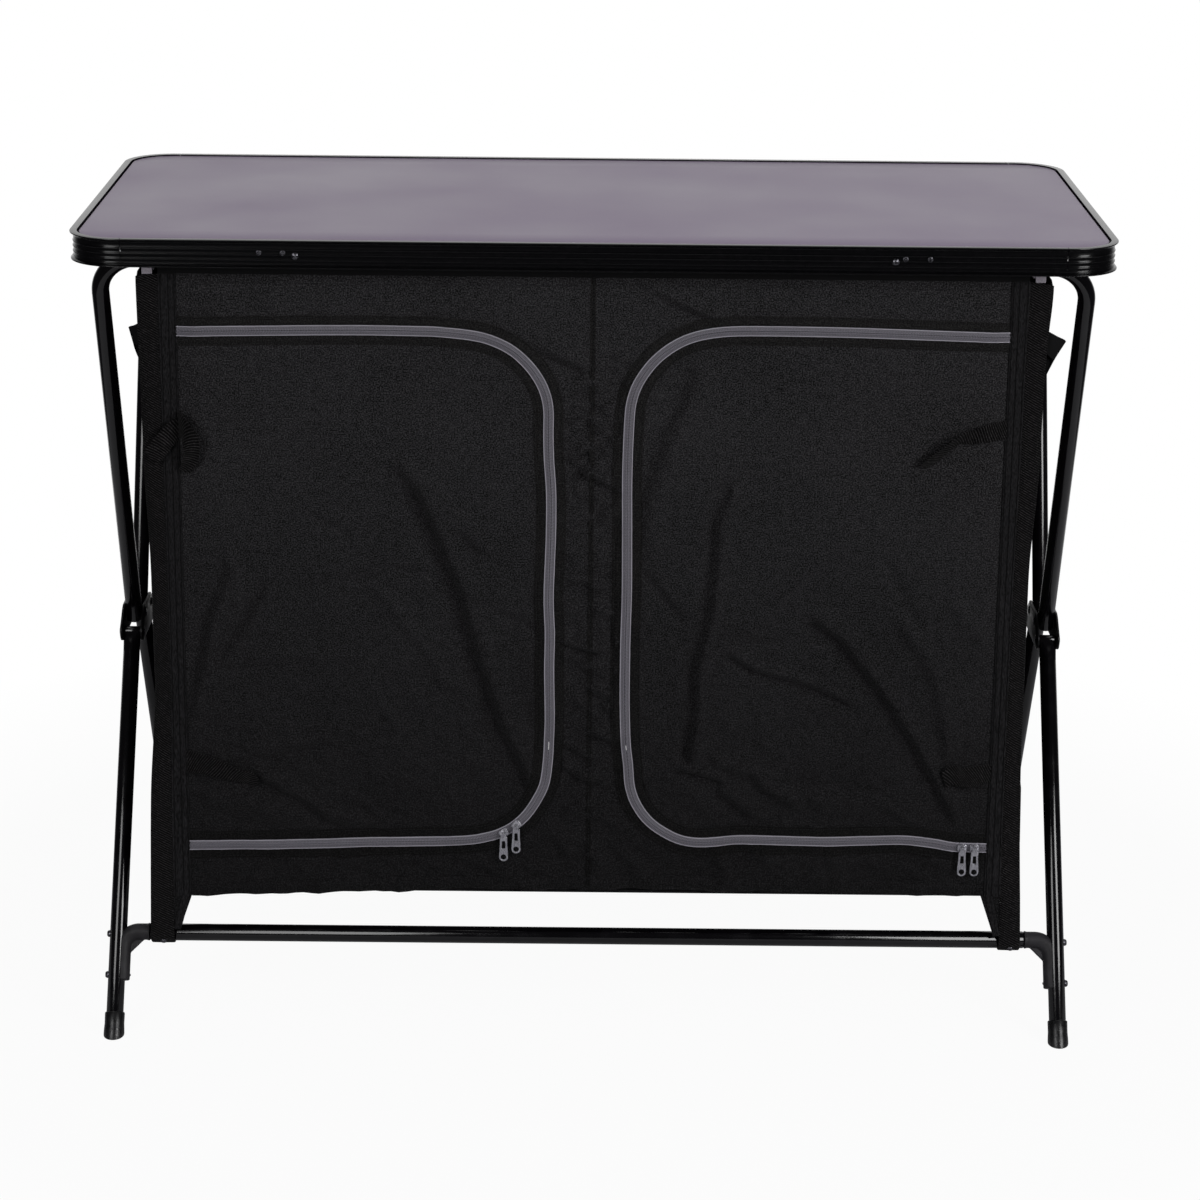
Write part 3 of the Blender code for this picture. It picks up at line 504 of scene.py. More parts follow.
def frames(path, facing, closed):
    path = [Vector(p) for p in path]
    count = len(path)
    made, up = [], None
    for i, here in enumerate(path):
        before = path[i - 1] if i or closed else here
        after = path[(i + 1) % count] if i < count - 1 or closed else here
        along = (after - before).normalized()
        if facing is not None:
            up = Vector(facing[i] if hasattr(facing[0], "__len__") else facing)
        elif up is None:
            up = Vector((0, 0, 1)) if abs(along.z) < 0.9 else Vector((0, 1, 0))
        up = (up - along * up.dot(along)).normalized()
        made.append((here, along.cross(up), up))
    return made


def sweep(name, path, section, look, facing=None, closed=False, sizes=None, angle=38):
    rows = frames(path, facing, closed)
    points, uv, length = [], [], 0.0
    least = min(s for s, _ in section)
    oneSided = least >= 0 or max(s for s, _ in section) <= 0
    for i, (here, across, up) in enumerate(rows):
        size = sizes[i] if sizes else 1.0
        length += (here - rows[i - 1][0]).length if i else 0.0
        for s, h in section:
            points.append(here + across * s * size + up * h * size)
            uv.append((abs(s) if oneSided else s - least, length))
    n, count = len(section), len(rows)
    faces = []
    for i in range(count if closed else count - 1):
        for k in range(n):
            a, b = i * n + k, i * n + (k + 1) % n
            c, d = ((i + 1) % count) * n + (k + 1) % n, ((i + 1) % count) * n + k
            faces.append((a, b, c, d))
    if not closed:
        faces += [tuple(range(n)), tuple(reversed(range((count - 1) * n, count * n)))]
    return build(name, points, faces, look, uv, angle)


def circle(radius, sides=32, centre=(0, 0)):
    turns = [2 * math.pi * i / sides for i in range(sides)]
    return [(centre[0] + radius * math.cos(a), centre[1] + radius * math.sin(a)) for a in turns]


def tube(name, path, radius, look, cap=0.0012, sides=32):  # round tube with softly closed ends
    path = [Vector(p) for p in path]
    first, last = (path[1] - path[0]).normalized(), (path[-1] - path[-2]).normalized()
    steps = (0, cap * 0.35, cap)
    run = [path[0] + first * s for s in steps] + path[1:-1] + [path[-1] - last * s for s in reversed(steps)]
    ends = [1 - cap / radius, 1 - cap / radius * 0.35, 1]
    return sweep(name, run, circle(radius, sides), look, sizes=ends + [1] * (len(path) - 2) + ends[::-1], angle=50)


def turned(name, profile, look, matrix, sides=32, angle=35):  # (radius, height) points from the top down
    points, faces = [], []
    rings = []
    for radius, height in profile:
        if radius < 1e-6:
            rings.append([len(points)])
            points.append(matrix @ Vector((0, 0, height)))
        else:
            rings.append(list(range(len(points), len(points) + sides)))
            points += [matrix @ Vector((x, y, height)) for x, y in circle(radius, sides)]
    for top, low in zip(rings, rings[1:]):
        for k in range(sides):
            ring = [top[k % len(top)], top[(k + 1) % len(top)], low[(k + 1) % len(low)], low[k % len(low)]]
            faces.append(tuple(dict.fromkeys(ring)))
    return build(name, points, faces, look, angle=angle)


def along(start, direction):
    return Matrix.Translation(start) @ Vector(direction).to_track_quat("Z", "Y").to_matrix().to_4x4()


def plate(name, outlines, thickness, bevel, look, matrix):  # flat piece with rounded rims
    curve = bpy.data.curves.new(name, "CURVE")
    curve.dimensions, curve.fill_mode = "2D", "BOTH"
    curve.extrude, curve.bevel_depth, curve.bevel_resolution, curve.offset = thickness / 2 - bevel, bevel, 2, -bevel
    for outline in outlines:
        line = curve.splines.new("POLY")
        line.points.add(len(outline) - 1)
        for spot, point in zip(line.points, outline):
            spot.co = (*point, 0, 1)
        line.use_cyclic_u = True
    holder = inScene(name, curve)
    data = bpy.data.meshes.new_from_object(holder.evaluated_get(bpy.context.evaluated_depsgraph_get()))
    bpy.data.objects.remove(holder)
    with editing(data) as bm:
        bmesh.ops.remove_doubles(bm, verts=bm.verts, dist=0.000005)
        bmesh.ops.transform(bm, matrix=matrix, verts=bm.verts)
        bmesh.ops.recalc_face_normals(bm, faces=bm.faces)
    return shade(link(name, data, look), 40)


def uprightFront(y):  # outline x along X, outline y up Z
    return Matrix(((1, 0, 0, 0), (0, 0, -1, y), (0, 1, 0, 0), (0, 0, 0, 1)))


def uprightSide(x):  # outline x along Y, outline y up Z
    return Matrix(((0, 0, 1, x), (1, 0, 0, 0), (0, 1, 0, 0), (0, 0, 0, 1)))


# Geometry Nodes: one tree sets a head on points, the other runs a stitch along a path
def openTree(name, inputs):
    group = bpy.data.node_groups.new(name, "GeometryNodeTree")
    group.is_modifier = True
    for label, kind, value in [("Geometry", "Geometry", None)] + inputs + [("Finish", "Material", None)]:
        socket = group.interface.new_socket(label, in_out="INPUT", socket_type="NodeSocket" + kind)
        if value is not None:
            socket.default_value = value
    group.interface.new_socket("Geometry", in_out="OUTPUT", socket_type="NodeSocketGeometry")
    tree = NodeTree(group)
    return tree, {socket.name: Wire(tree, socket) for socket in tree.nodes.new("NodeGroupInput").outputs}


def closeTree(tree, given, points, shape, turn, size):  # a copy of the shape on each point
    wiring = {"Points": points, "Instance": shape, "Rotation": turn, "Scale": size}
    copies = tree.add("GeometryNodeInstanceOnPoints", None, wiring)
    real = tree.add("GeometryNodeRealizeInstances", None, {"Geometry": copies})
    done = tree.add("GeometryNodeSetMaterial", None, {"Geometry": real, "Material": given["Finish"]})
    tree.links.new(done.socket, tree.nodes.new("NodeGroupOutput").inputs["Geometry"])
    return tree.tree


def makeRivetTree():  # each head is turned to its point's own aim
    tree, given = openTree("rivetsOnPoints", [("Head", "Object", None)])
    shape = tree.add("GeometryNodeObjectInfo", None, {"Object": given["Head"]}, "Geometry")
    aim = tree.add("GeometryNodeInputNamedAttribute", {"data_type": "FLOAT_VECTOR"}, {"Name": "aim"}, "Attribute")
    turn = tree.add("FunctionNodeAlignRotationToVector", {"axis": "Z"}, {"Vector": aim}, "Rotation")
    return closeTree(tree, given, given["Geometry"], shape, turn, (1, 1, 1))


def makeStitchTree():  # evenly spaced threads, each leaning by an angle in the cloth's plane
    inputs = [("Spacing", "Float", 0.0034), ("Thread Length", "Float", 0.0026), ("Thread Radius", "Float", 0.0003),
              ("Lean", "Float", 0.0), ("Facing", "Vector", (0, -1, 0))]
    tree, given = openTree("stitchesAlongPath", inputs)
    path = tree.add("GeometryNodeMeshToCurve", None, {"Mesh": given["Geometry"]})
    even = tree.add("GeometryNodeResampleCurve", {"mode": "LENGTH"}, {"Curve": path, "Length": given["Spacing"]})
    swing = {"Vector": tree.add("GeometryNodeInputTangent"), "Axis": given["Facing"], "Angle": given["Lean"]}
    lean = tree.add("ShaderNodeVectorRotate", {"rotation_type": "AXIS_ANGLE"}, swing)
    turn = tree.add("FunctionNodeAlignRotationToVector", {"axis": "X"}, {"Vector": lean}, "Rotation")
    thin = given["Thread Radius"]
    size = tree.add("ShaderNodeCombineXYZ", None, {"X": given["Thread Length"] * 0.5, "Y": thin, "Z": thin})
    bead = tree.add("GeometryNodeMeshUVSphere", None, {"Segments": 6, "Rings": 4, "Radius": 1.0}, "Mesh")
    lying = tree.add("GeometryNodeTransform", None, {"Geometry": bead, "Rotation": (0, math.pi / 2, 0)})
    return closeTree(tree, given, even, lying, turn, size)


def runTree(tree, name, host, look, **values):
    piece = link(name, host, look)
    step = piece.modifiers.new("make", "NODES")
    step.node_group = tree
    wanted = {label.replace("_", " "): value for label, value in values.items()} | {"Finish": look.material}
    for socket in tree.interface.items_tree:
        if socket.in_out == "INPUT" and socket.name in wanted:
            step[socket.identifier] = wanted[socket.name]
    return applied(piece, 50)


def pathHost(name, paths):
    points, edges = [], []
    for path in paths:
        start = len(points)
        points += [tuple(p) for p in path]
        edges += [(i, i + 1) for i in range(start, len(points) - 1)]
    data = bpy.data.meshes.new(name)
    data.from_pydata(points, edges, [])
    return data


def rivets(name, profile, spots, sides=32):  # spots are (place, aim)
    host = pathHost(name, [[place] for place, _ in spots])
    aims = host.attributes.new("aim", "FLOAT_VECTOR", "POINT")
    aims.data.foreach_set("vector", [c for _, aim in spots for c in Vector(aim).normalized()])
    head = turned("head", profile, None, Matrix(), sides)
    made = runTree(rivetTree, name, host, looks["rivet"], Head=head)
    bpy.data.objects.remove(head)
    return made


def cut(numbers, width=2, unit=10000):  # a table of whole numbers, cut into points
    return [tuple(n / unit for n in numbers[i:i + width]) for i in range(0, len(numbers), width)]


hands, walls = (("left", -1), ("right", 1)), (("front", -1), ("rear", 1))
words = {-1: "front", 1: "rear"}

# Tabletop: board, four edge lengths and their rivets
top = {"width": 1.000, "depth": 0.470, "height": 0.810, "corner": 0.050, "edge": 0.027, "flare": 0.0033,
       "lowFlare": 0.0027, "wall": 0.0025, "lip": 0.0022, "lipWider": 0.001, "flange": 0.010, "recess": 0.001,
       "board": 0.008, "boardRim": 0.0006, "groove": 0.0020, "gap": 0.0003, "seam": 0.446, "softEdge": 0.0004,
       "ribs": (0.8010, 0.7959, 0.7908, 0.7866), "ribHeight": 0.0007, "ribWidth": 0.0018}
# Height, places along the edge, and the head's radius and height in tenths of a millimetre
edgeRivets = {
    "edgeDomeRivets": (0.7950, (-0.2817, 0.2841), (0, 16, 16, 14, 29, 8, 36, 2, 37, -4, 0, -4)),
    "edgeRingRivets": (0.7977, (-0.3158, -0.2932, 0.2932, 0.3165), (0, 1, 12, 1, 14, 8, 21, 9, 27, 4, 28, -3, 0, -3))}


def edgeSection():
    face, low = top["flare"], top["flare"] - top["lowFlare"]
    inner = face + top["wall"]
    lip, thick, flange = inner + top["lipWider"], top["lip"], inner + top["flange"]
    high, bottom = top["height"], top["height"] - top["edge"]
    ledge = high - top["recess"] - top["board"] - top["gap"]
    outer = [(lip, high), (0, high), (0, high - thick / 2), (face, high - thick * 1.6)]
    arch = turnPoints((0, 0), 1, 0, 180, 8)
    for z in top["ribs"]:
        outer += [(face - top["ribHeight"] * b, z + top["ribWidth"] / 2 * a) for a, b in arch]
    outer += [(face, bottom + thick), (low, bottom + thick / 2), (low, bottom), (flange, bottom)]
    back = [(flange, bottom + thick * 0.6), (inner, bottom + thick * 0.6), (inner, ledge - thick)]
    back += [(flange, ledge - thick), (flange, ledge), (lip, ledge)]
    return [(-d, z) for run in (outer, back) for d, z in fillet(run, top["softEdge"], 2, closed=False)]


def makeTabletop():
    end, y, r = top["width"] / 2, top["depth"] / 2, top["corner"]
    inset = top["flare"] + top["wall"] + top["lipWider"] + top["groove"]
    outline = []
    for sx, sy, start in ((1, 1, 0), (-1, 1, 90), (-1, -1, 180), (1, -1, 270)):
        outline += turnPoints((sx * (end - r), sy * (y - r)), r - inset, start, start + 90, 16)
    middle = Matrix.Translation((0, 0, top["height"] - top["recess"] - top["board"] / 2))
    board = plate("boardTop", [outline], top["board"], top["boardRim"], looks["board"], middle)
    settle(board, "tabletop", "tabletop_board")
    section, near, far = edgeSection(), top["seam"] - top["gap"], top["seam"] + top["gap"]
    bend = turnPoints((end - r, r - y), r, -90, 0, 20) + turnPoints((end - r, y - r), r, 0, 90, 20)
    around = [(far, -y)] + bend + [(far, y)]
    paths = {word: [(side * near, side * y, 0), (-side * near, side * y, 0)] for word, side in walls}
    paths |= {word: [(side * a, side * b, 0) for a, b in around] for word, side in hands}
    for word, path in paths.items():
        edge = sweep(word + "Edge", path, section, looks["edge"], facing=(0, 0, 1))
        settle(edge, "tabletop", "edge_" + word)
    for name, (z, places, head) in edgeRivets.items():
        spots = [((x, s * (y - top["flare"]), z), (0, s, 0)) for x in places for s in (-1, 1)]
        settle(rivets(name, cut(head), spots), "tabletop")
    print("tabletop done")


# Folding frame
tubes = {"radius": 0.0085, "legX": 0.474, "barY": 0.192, "barZ": 0.784, "bend": 0.040, "upperPivot": (0.0195, 0.372),
         "lowerPivot": (0.0375, 0.358), "foot": 0.248, "lowBar": 0.090, "end": 0.007, "footFloor": 0.009, "gap": 0.0003,
         "sideways": Vector((1, 0, 0))}
clip = {"play": 0.0002, "mouth": 0.0002, "waist": 0.006, "slope": 0.0022, "rim": 0.0007}


def legWay(low, high):
    return (Vector((0, *high)) - Vector((0, *low))).normalized()


upperWay = legWay(tubes["upperPivot"], (tubes["barY"], tubes["barZ"]))
lowerWay = legWay((tubes["foot"], 0), tubes["lowerPivot"])
lowBar = Vector((0, tubes["foot"], 0)) + lowerWay * (tubes["lowBar"] / lowerWay.z)


def flip(vector, side):
    return Vector((vector.x, side * vector.y, vector.z))


def makeUpperFrame(word, side):
    body = "upper_" + word
    up, x, r, sideways = flip(upperWay, side), tubes["legX"], tubes["bend"], tubes["sideways"]
    pivot = Vector((x, side * tubes["upperPivot"][0], tubes["upperPivot"][1]))
    centre = Vector((x, side * tubes["barY"], tubes["barZ"])) - up * r - sideways * r
    half = [pivot - up * tubes["end"]] + [centre + sideways * a + up * b for a, b in turnPoints((0, 0), r, 0, 90, 14)]
    path = half + [Vector((-p.x, p.y, p.z)) for p in reversed(half)]
    settle(tube(word + "UpperTube", path, tubes["radius"], looks["paint"]), body, body + "_frame")
    inner = tubes["radius"] + clip["play"]
    for name, _ in hands:
        node = f"{body}_clip_{name}"
        low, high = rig.box(node)
        y, z, wide = side * tubes["barY"], tubes["barZ"], (high.y - low.y) / 2
        mouth, waist, slope = inner + clip["mouth"], z + clip["waist"], wide - clip["slope"]
        outline = [(y - mouth, low.z), (y - wide, low.z), (y - wide, waist), (y - slope, high.z), (y + slope, high.z)]
        outline += [(y + wide, waist), (y + wide, low.z), (y + mouth, low.z)] + turnPoints((y, z), inner, 0, 180, 18)
        place = uprightSide((low.x + high.x) / 2)
        made = plate(word + name.title() + "Clip", [outline], high.x - low.x, clip["rim"], looks["clip"], place)
        settle(made, body, node)


# Foot cap: radius and height in tenths of a millimetre, bevelled where the floor cuts it
foot = {"profile": (0, 236, 85, 236, 94, 233, 99, 225, 98, 120, 102, 60, 103, 30, 103, -101, 0, -101),
        "sole": 0.0002, "bevel": 0.0011}


def makeFoot(name, ground, up):
    piece = turned(name, cut(foot["profile"]), looks["foot"], along(ground, up), 40)
    floor = {"plane_co": (0, 0, foot["sole"]), "plane_no": (0, 0, -1)}
    with editing(piece.data) as bm:
        whole = bm.verts[:] + bm.edges[:] + bm.faces[:]
        sliced = bmesh.ops.bisect_plane(bm, geom=whole, clear_outer=True, **floor)
        rim = [e for e in sliced["geom_cut"] if isinstance(e, bmesh.types.BMEdge)]
        bmesh.ops.contextual_create(bm, geom=rim)
        bmesh.ops.bevel(bm, geom=rim, offset=foot["bevel"], segments=3, profile=0.5, affect="EDGES")
        bmesh.ops.recalc_face_normals(bm, faces=bm.faces)
    return shade(piece, 40)


elbow = {"reach": 0.4419, "radius": 0.0083, "bend": 0.016, "arm": 0.469, "long": 0.049, "lip": 0.4691, "cap": 0.0008,
         "web": 0.0020, "webLeg": 0.013, "webRim": 0.0004, "sink": 0.3, "collar": 0.0006, "collarIn": 0.0010,
         "collarWide": 0.0016, "voxel": 0.0007, "wear": 3, "bore": 0.0001}


def makeElbow(word, name, side, sx):  # a bent limb with a thin web, worn soft, then saddled on the leg
    bar, up, across = Vector((0, side * lowBar.y, lowBar.z)), flip(lowerWay, side), Vector((sx, 0, 0))
    arm, turn, r, look = elbow["arm"], elbow["bend"], elbow["radius"], looks["elbow"]
    bend = [bar + across * (arm - turn + a) - up * (turn - b) for a, b in turnPoints((0, 0), turn, 90, 0, 14)]
    mouth = bar + across * elbow["reach"]
    limb = tube("limb", [mouth] + bend + [bar + across * arm - up * elbow["long"]], r, look, elbow["cap"], 40)
    sunk, start = r * elbow["sink"], arm - r - elbow["webLeg"]
    tip = r + elbow["webLeg"] + sunk
    outline = [(start - sunk, r - sunk), (arm - r + sunk, tip), (arm, tip), (arm, 0), (start - sunk, 0)]
    axes = Matrix((across, -up, across.cross(-up))).transposed().to_4x4()
    web = plate("web", [outline], elbow["web"], elbow["webRim"], look, Matrix.Translation(bar) @ axes)
    low, high, wide = r - elbow["collarIn"], r + elbow["collar"], -elbow["collarWide"]
    ring = [(low, 0), (high, 0), (high, wide), (low, wide), (low, 0)]
    collar = turned("collar", ring, look, along(mouth, (-sx, 0, 0)), 40)
    piece = joined(f"{word}{name.title()}Elbow", [limb, web, collar])
    grid = piece.modifiers.new("grid", "REMESH")
    grid.mode, grid.voxel_size, grid.adaptivity = "VOXEL", elbow["voxel"], 0.0
    worn = piece.modifiers.new("worn", "SMOOTH")
    worn.factor, worn.iterations = 0.5, elbow["wear"]
    ground = Vector((sx * tubes["legX"], side * tubes["foot"], 0))
    section = circle(tubes["radius"] + elbow["bore"], 48)
    bore = sweep("bore", [ground + up * s for s in (0.02, 0.14)], section, None)
    low, high = sorted((sx * elbow["lip"], sx * 0.5))  # what stands out past the lip is cut away
    corners = [(x, y, z) for x in (low, high) for y in (-0.3, 0.3) for z in (0.0, 0.2)]
    sides = [(0, 1, 3, 2), (4, 6, 7, 5), (0, 4, 5, 1), (2, 3, 7, 6), (0, 2, 6, 4), (1, 5, 7, 3)]
    cutters = [bore, build("rims", corners, sides, None)]
    for cutter in cutters:
        minus = piece.modifiers.new("cut", "BOOLEAN")
        minus.operation, minus.object = "DIFFERENCE", cutter
    applied(piece, 42)
    for cutter in cutters:
        bpy.data.objects.remove(cutter)
    return settle(piece, "lower_" + word, f"lower_{word}_{name}_elbow")


barrel = {"radius": 0.0049, "half": 0.0088, "start": 0.021, "flat": 0.0044, "sides": 32, "rows": 9, "square": 0.45}


def makeLegTop(pivot, up):  # the tube's end is pressed flat and rolled round its pin
    count, last = barrel["sides"], barrel["rows"] - 1
    out = tubes["sideways"].cross(up).normalized()
    points, sides = [], []
    for i in range(last + 1):
        t = i / last
        ease = t * t * (3 - 2 * t)
        deep = tubes["radius"] + (barrel["flat"] - tubes["radius"]) * ease
        here = pivot - up * (barrel["start"] * (1 - t) + 0.0010)
        power = 1 - barrel["square"] * ease
        for a, b in circle(1, count):
            x = math.copysign(abs(a) ** power, a) * (tubes["radius"] + 0.0003 * ease)
            points.append(here + Vector((x, 0, 0)) + out * math.copysign(abs(b) ** power, b) * deep)
    for i in range(0, last * count, count):
        for k in range(count):
            after = (k + 1) % count
            sides.append((i + k, i + after, i + count + after, i + count + k))
    sides += [tuple(range(count)), tuple(reversed(range(last * count, (last + 1) * count)))]
    wedge = build("wedge", points, sides, looks["paint"])
    ends = [pivot + Vector((sx * barrel["half"], 0, 0)) for sx in (-1, 1)]
    return [wedge, tube("eye", ends, barrel["radius"], looks["paint"], 0.0006)]


# Elbow screws: heads on the leg and a tip inside, radius and height in tenths of a millimetre
screws = {"heads": (0.0880, 0.0525), "sunk": 0.0004, "tip": 0.0052, "tipOut": 0.0002,
          "head": (0, 16, 11, 16, 13, 32, 24, 31, 34, 19, 36, 4, 36, -8, 0, -8),
          "point": (0, 11, 7, 10, 13, 6, 16, 0, 16, -12, 0, -12)}


def makeLowerFrame(word, side):
    body = "lower_" + word
    up, r, reach = flip(lowerWay, side), tubes["radius"], elbow["reach"] - tubes["gap"]
    bar = [Vector((x, side * lowBar.y, lowBar.z)) for x in (-reach, reach)]
    settle(tube(word + "LowerBar", bar, r, looks["paint"]), body, body + "_crossbar")
    heads, tips = [], []
    for name, sx in hands:
        ground = Vector((sx * tubes["legX"], side * tubes["foot"], 0))
        pivot = Vector((sx * tubes["legX"], side * tubes["lowerPivot"][0], tubes["lowerPivot"][1]))
        path = [ground + up * tubes["footFloor"], pivot - up * (barrel["start"] - 0.0002)]
        leg = [tube("leg", path, r, looks["paint"])] + makeLegTop(pivot, up)
        settle(joined(f"{word}{name.title()}Leg", leg), body, f"{body}_{name}_leg")
        settle(makeFoot(f"{word}{name.title()}Foot", ground, up), body, f"{body}_{name}_foot")
        makeElbow(word, name, side, sx)
        out = Vector((sx * (r - screws["sunk"]), 0, 0))
        heads += [(ground + up * (z / up.z) + out, (sx, 0, 0)) for z in screws["heads"]]
        end = Vector((sx * (elbow["arm"] - elbow["radius"] + screws["tipOut"]), side * lowBar.y, lowBar.z))
        tips.append((end - up * (elbow["long"] - screws["tip"]), (-sx, 0, 0)))
    settle(rivets(word + "LegScrews", cut(screws["head"]), heads, 20), body)
    settle(rivets(word + "ElbowTips", cut(screws["point"]), tips, 16), body)


def leftTurn(a, b, c):
    return (b[0] - a[0]) * (c[1] - a[1]) > (b[1] - a[1]) * (c[0] - a[0])


def hull(points):  # convex outline round flat points
    points = sorted(set(points))
    sides = []
    for run in (points, points[::-1]):
        chain = []
        for p in run:
            while len(chain) > 1 and not leftTurn(chain[-2], chain[-1], p):
                chain.pop()
            chain.append(p)
        sides += chain[:-1]
    return sides


hub = {"plate": 0.0025, "plateX": 0.0091, "margin": 0.010, "rim": 0.0007, "inset": 0.0026, "panel": 0.0008,
       "panelRim": 0.0003, "panelOut": 0.0001, "headOut": 0.0004, "head": 0.0048, "headHeight": 0.0011,
       "dome": ((0, 1), (0.35, 0.97), (0.66, 0.8), (0.88, 0.5), (1, 0.12), (1, 0)), "under": -0.0003, "underWide": 0.9}


def makeHubs():
    pivots = [(s * y, z) for y, z in (tubes["upperPivot"], tubes["lowerPivot"]) for s in (-1, 1)]

    def outline(margin):
        return hull([(round(a, 7), round(b, 7)) for p in pivots for a, b in turnPoints(p, margin, 0, 354, 59)])
    thick, look, spots = hub["plate"], looks["hub"], []
    for word, sx in hands:
        for name, out in (("outer", 1), ("inner", -1)):
            x = sx * (tubes["legX"] + out * (hub["plateX"] + thick / 2))
            face = uprightSide(x + sx * out * (thick / 2 + hub["panelOut"]))
            raised = plate("panel", [outline(hub["margin"] - hub["inset"])], hub["panel"], hub["panelRim"], look, face)
            flat = plate("flat", [outline(hub["margin"])], thick, hub["rim"], look, uprightSide(x))
            settle(joined(f"{word}{name.title()}HubPlate", [flat, raised]), "cupboard", f"hub_plate_{word}_{name}")
            edge = sx * (tubes["legX"] + out * (hub["plateX"] + thick + hub["headOut"]))
            spots += [((edge, y, z), (sx * out, 0, 0)) for y, z in pivots]
    r, h = hub["head"], hub["headHeight"]
    head = [(r * a, h * b) for a, b in hub["dome"]] + [(r * a, hub["under"]) for a in (hub["underWide"], 0)]
    nodes = [f"hub_pin_{a}_{b}_{c}" for a, _ in hands for b in ("upper", "lower") for c, _ in walls]
    settle(rivets("hubRivets", head, spots), "cupboard", *nodes)
    print("hubs done")


# Fabric cupboard
cloth = {"face": 0.205381, "side": 0.4369, "shoulder": 0.4154, "seamIn": 0.398, "top": 0.7715, "crease": 0.360684,
         "blend": 0.012, "thick": 0.0009, "pitch": 0.0036, "shelves": (0.380, 0.573), "floor": 0.1418, "depth": 0.2033,
         "split": 0.1285, "squash": 0.12, "slit": 0.0001, "cut": 0.0002}
# Hem, as x and z in tenths of a millimetre
hemLine = (-4154, 975, -4105, 972, -3975, 1350, -3000, 1395, -1500, 1445, 0, 1475, 1500, 1465, 3000, 1440, 3945,
           1425, 4085, 1010, 4154, 1010)
# Middle of each zip, from the hinge seam over the top, down the free side and back along the bottom
zipLines = {
    "left": (-3985, 7160, -3630, 7172, -3150, 7181, -2670, 7190, -2190, 7195, -1710, 7192, -1470, 7186, -1140, 7152,
             -940, 7097, -770, 7008, -630, 6882, -530, 6750, -462, 6610, -425, 6440, -423, 6180, -416, 5940, -393,
             5600, -392, 5220, -403, 4840, -411, 4505, -397, 4160, -401, 3786, -393, 3307, -399, 3040, -409, 2828,
             -440, 2590, -520, 2405, -615, 2255, -735, 2135, -880, 2050, -1020, 2005, -1190, 1975, -1470, 1960,
             -2200, 1941, -3100, 1909, -3985, 1891),
    "right": (3985, 7178, 3300, 7195, 2400, 7215, 1490, 7220, 1160, 7200, 925, 7145, 735, 7045, 570, 6900, 440, 6710,
              376, 6530, 354, 6320, 341, 5800, 347, 5200, 352, 4600, 344, 4100, 344, 3500, 360, 3050, 386, 2810, 410,
              2570, 480, 2380, 600, 2215, 755, 2095, 920, 2010, 1090, 1975, 1260, 1980, 1490, 2005, 1910, 2001, 2400,
              1994, 2800, 2008, 3150, 2016, 3450, 1985, 3650, 1948, 3985, 1940)}
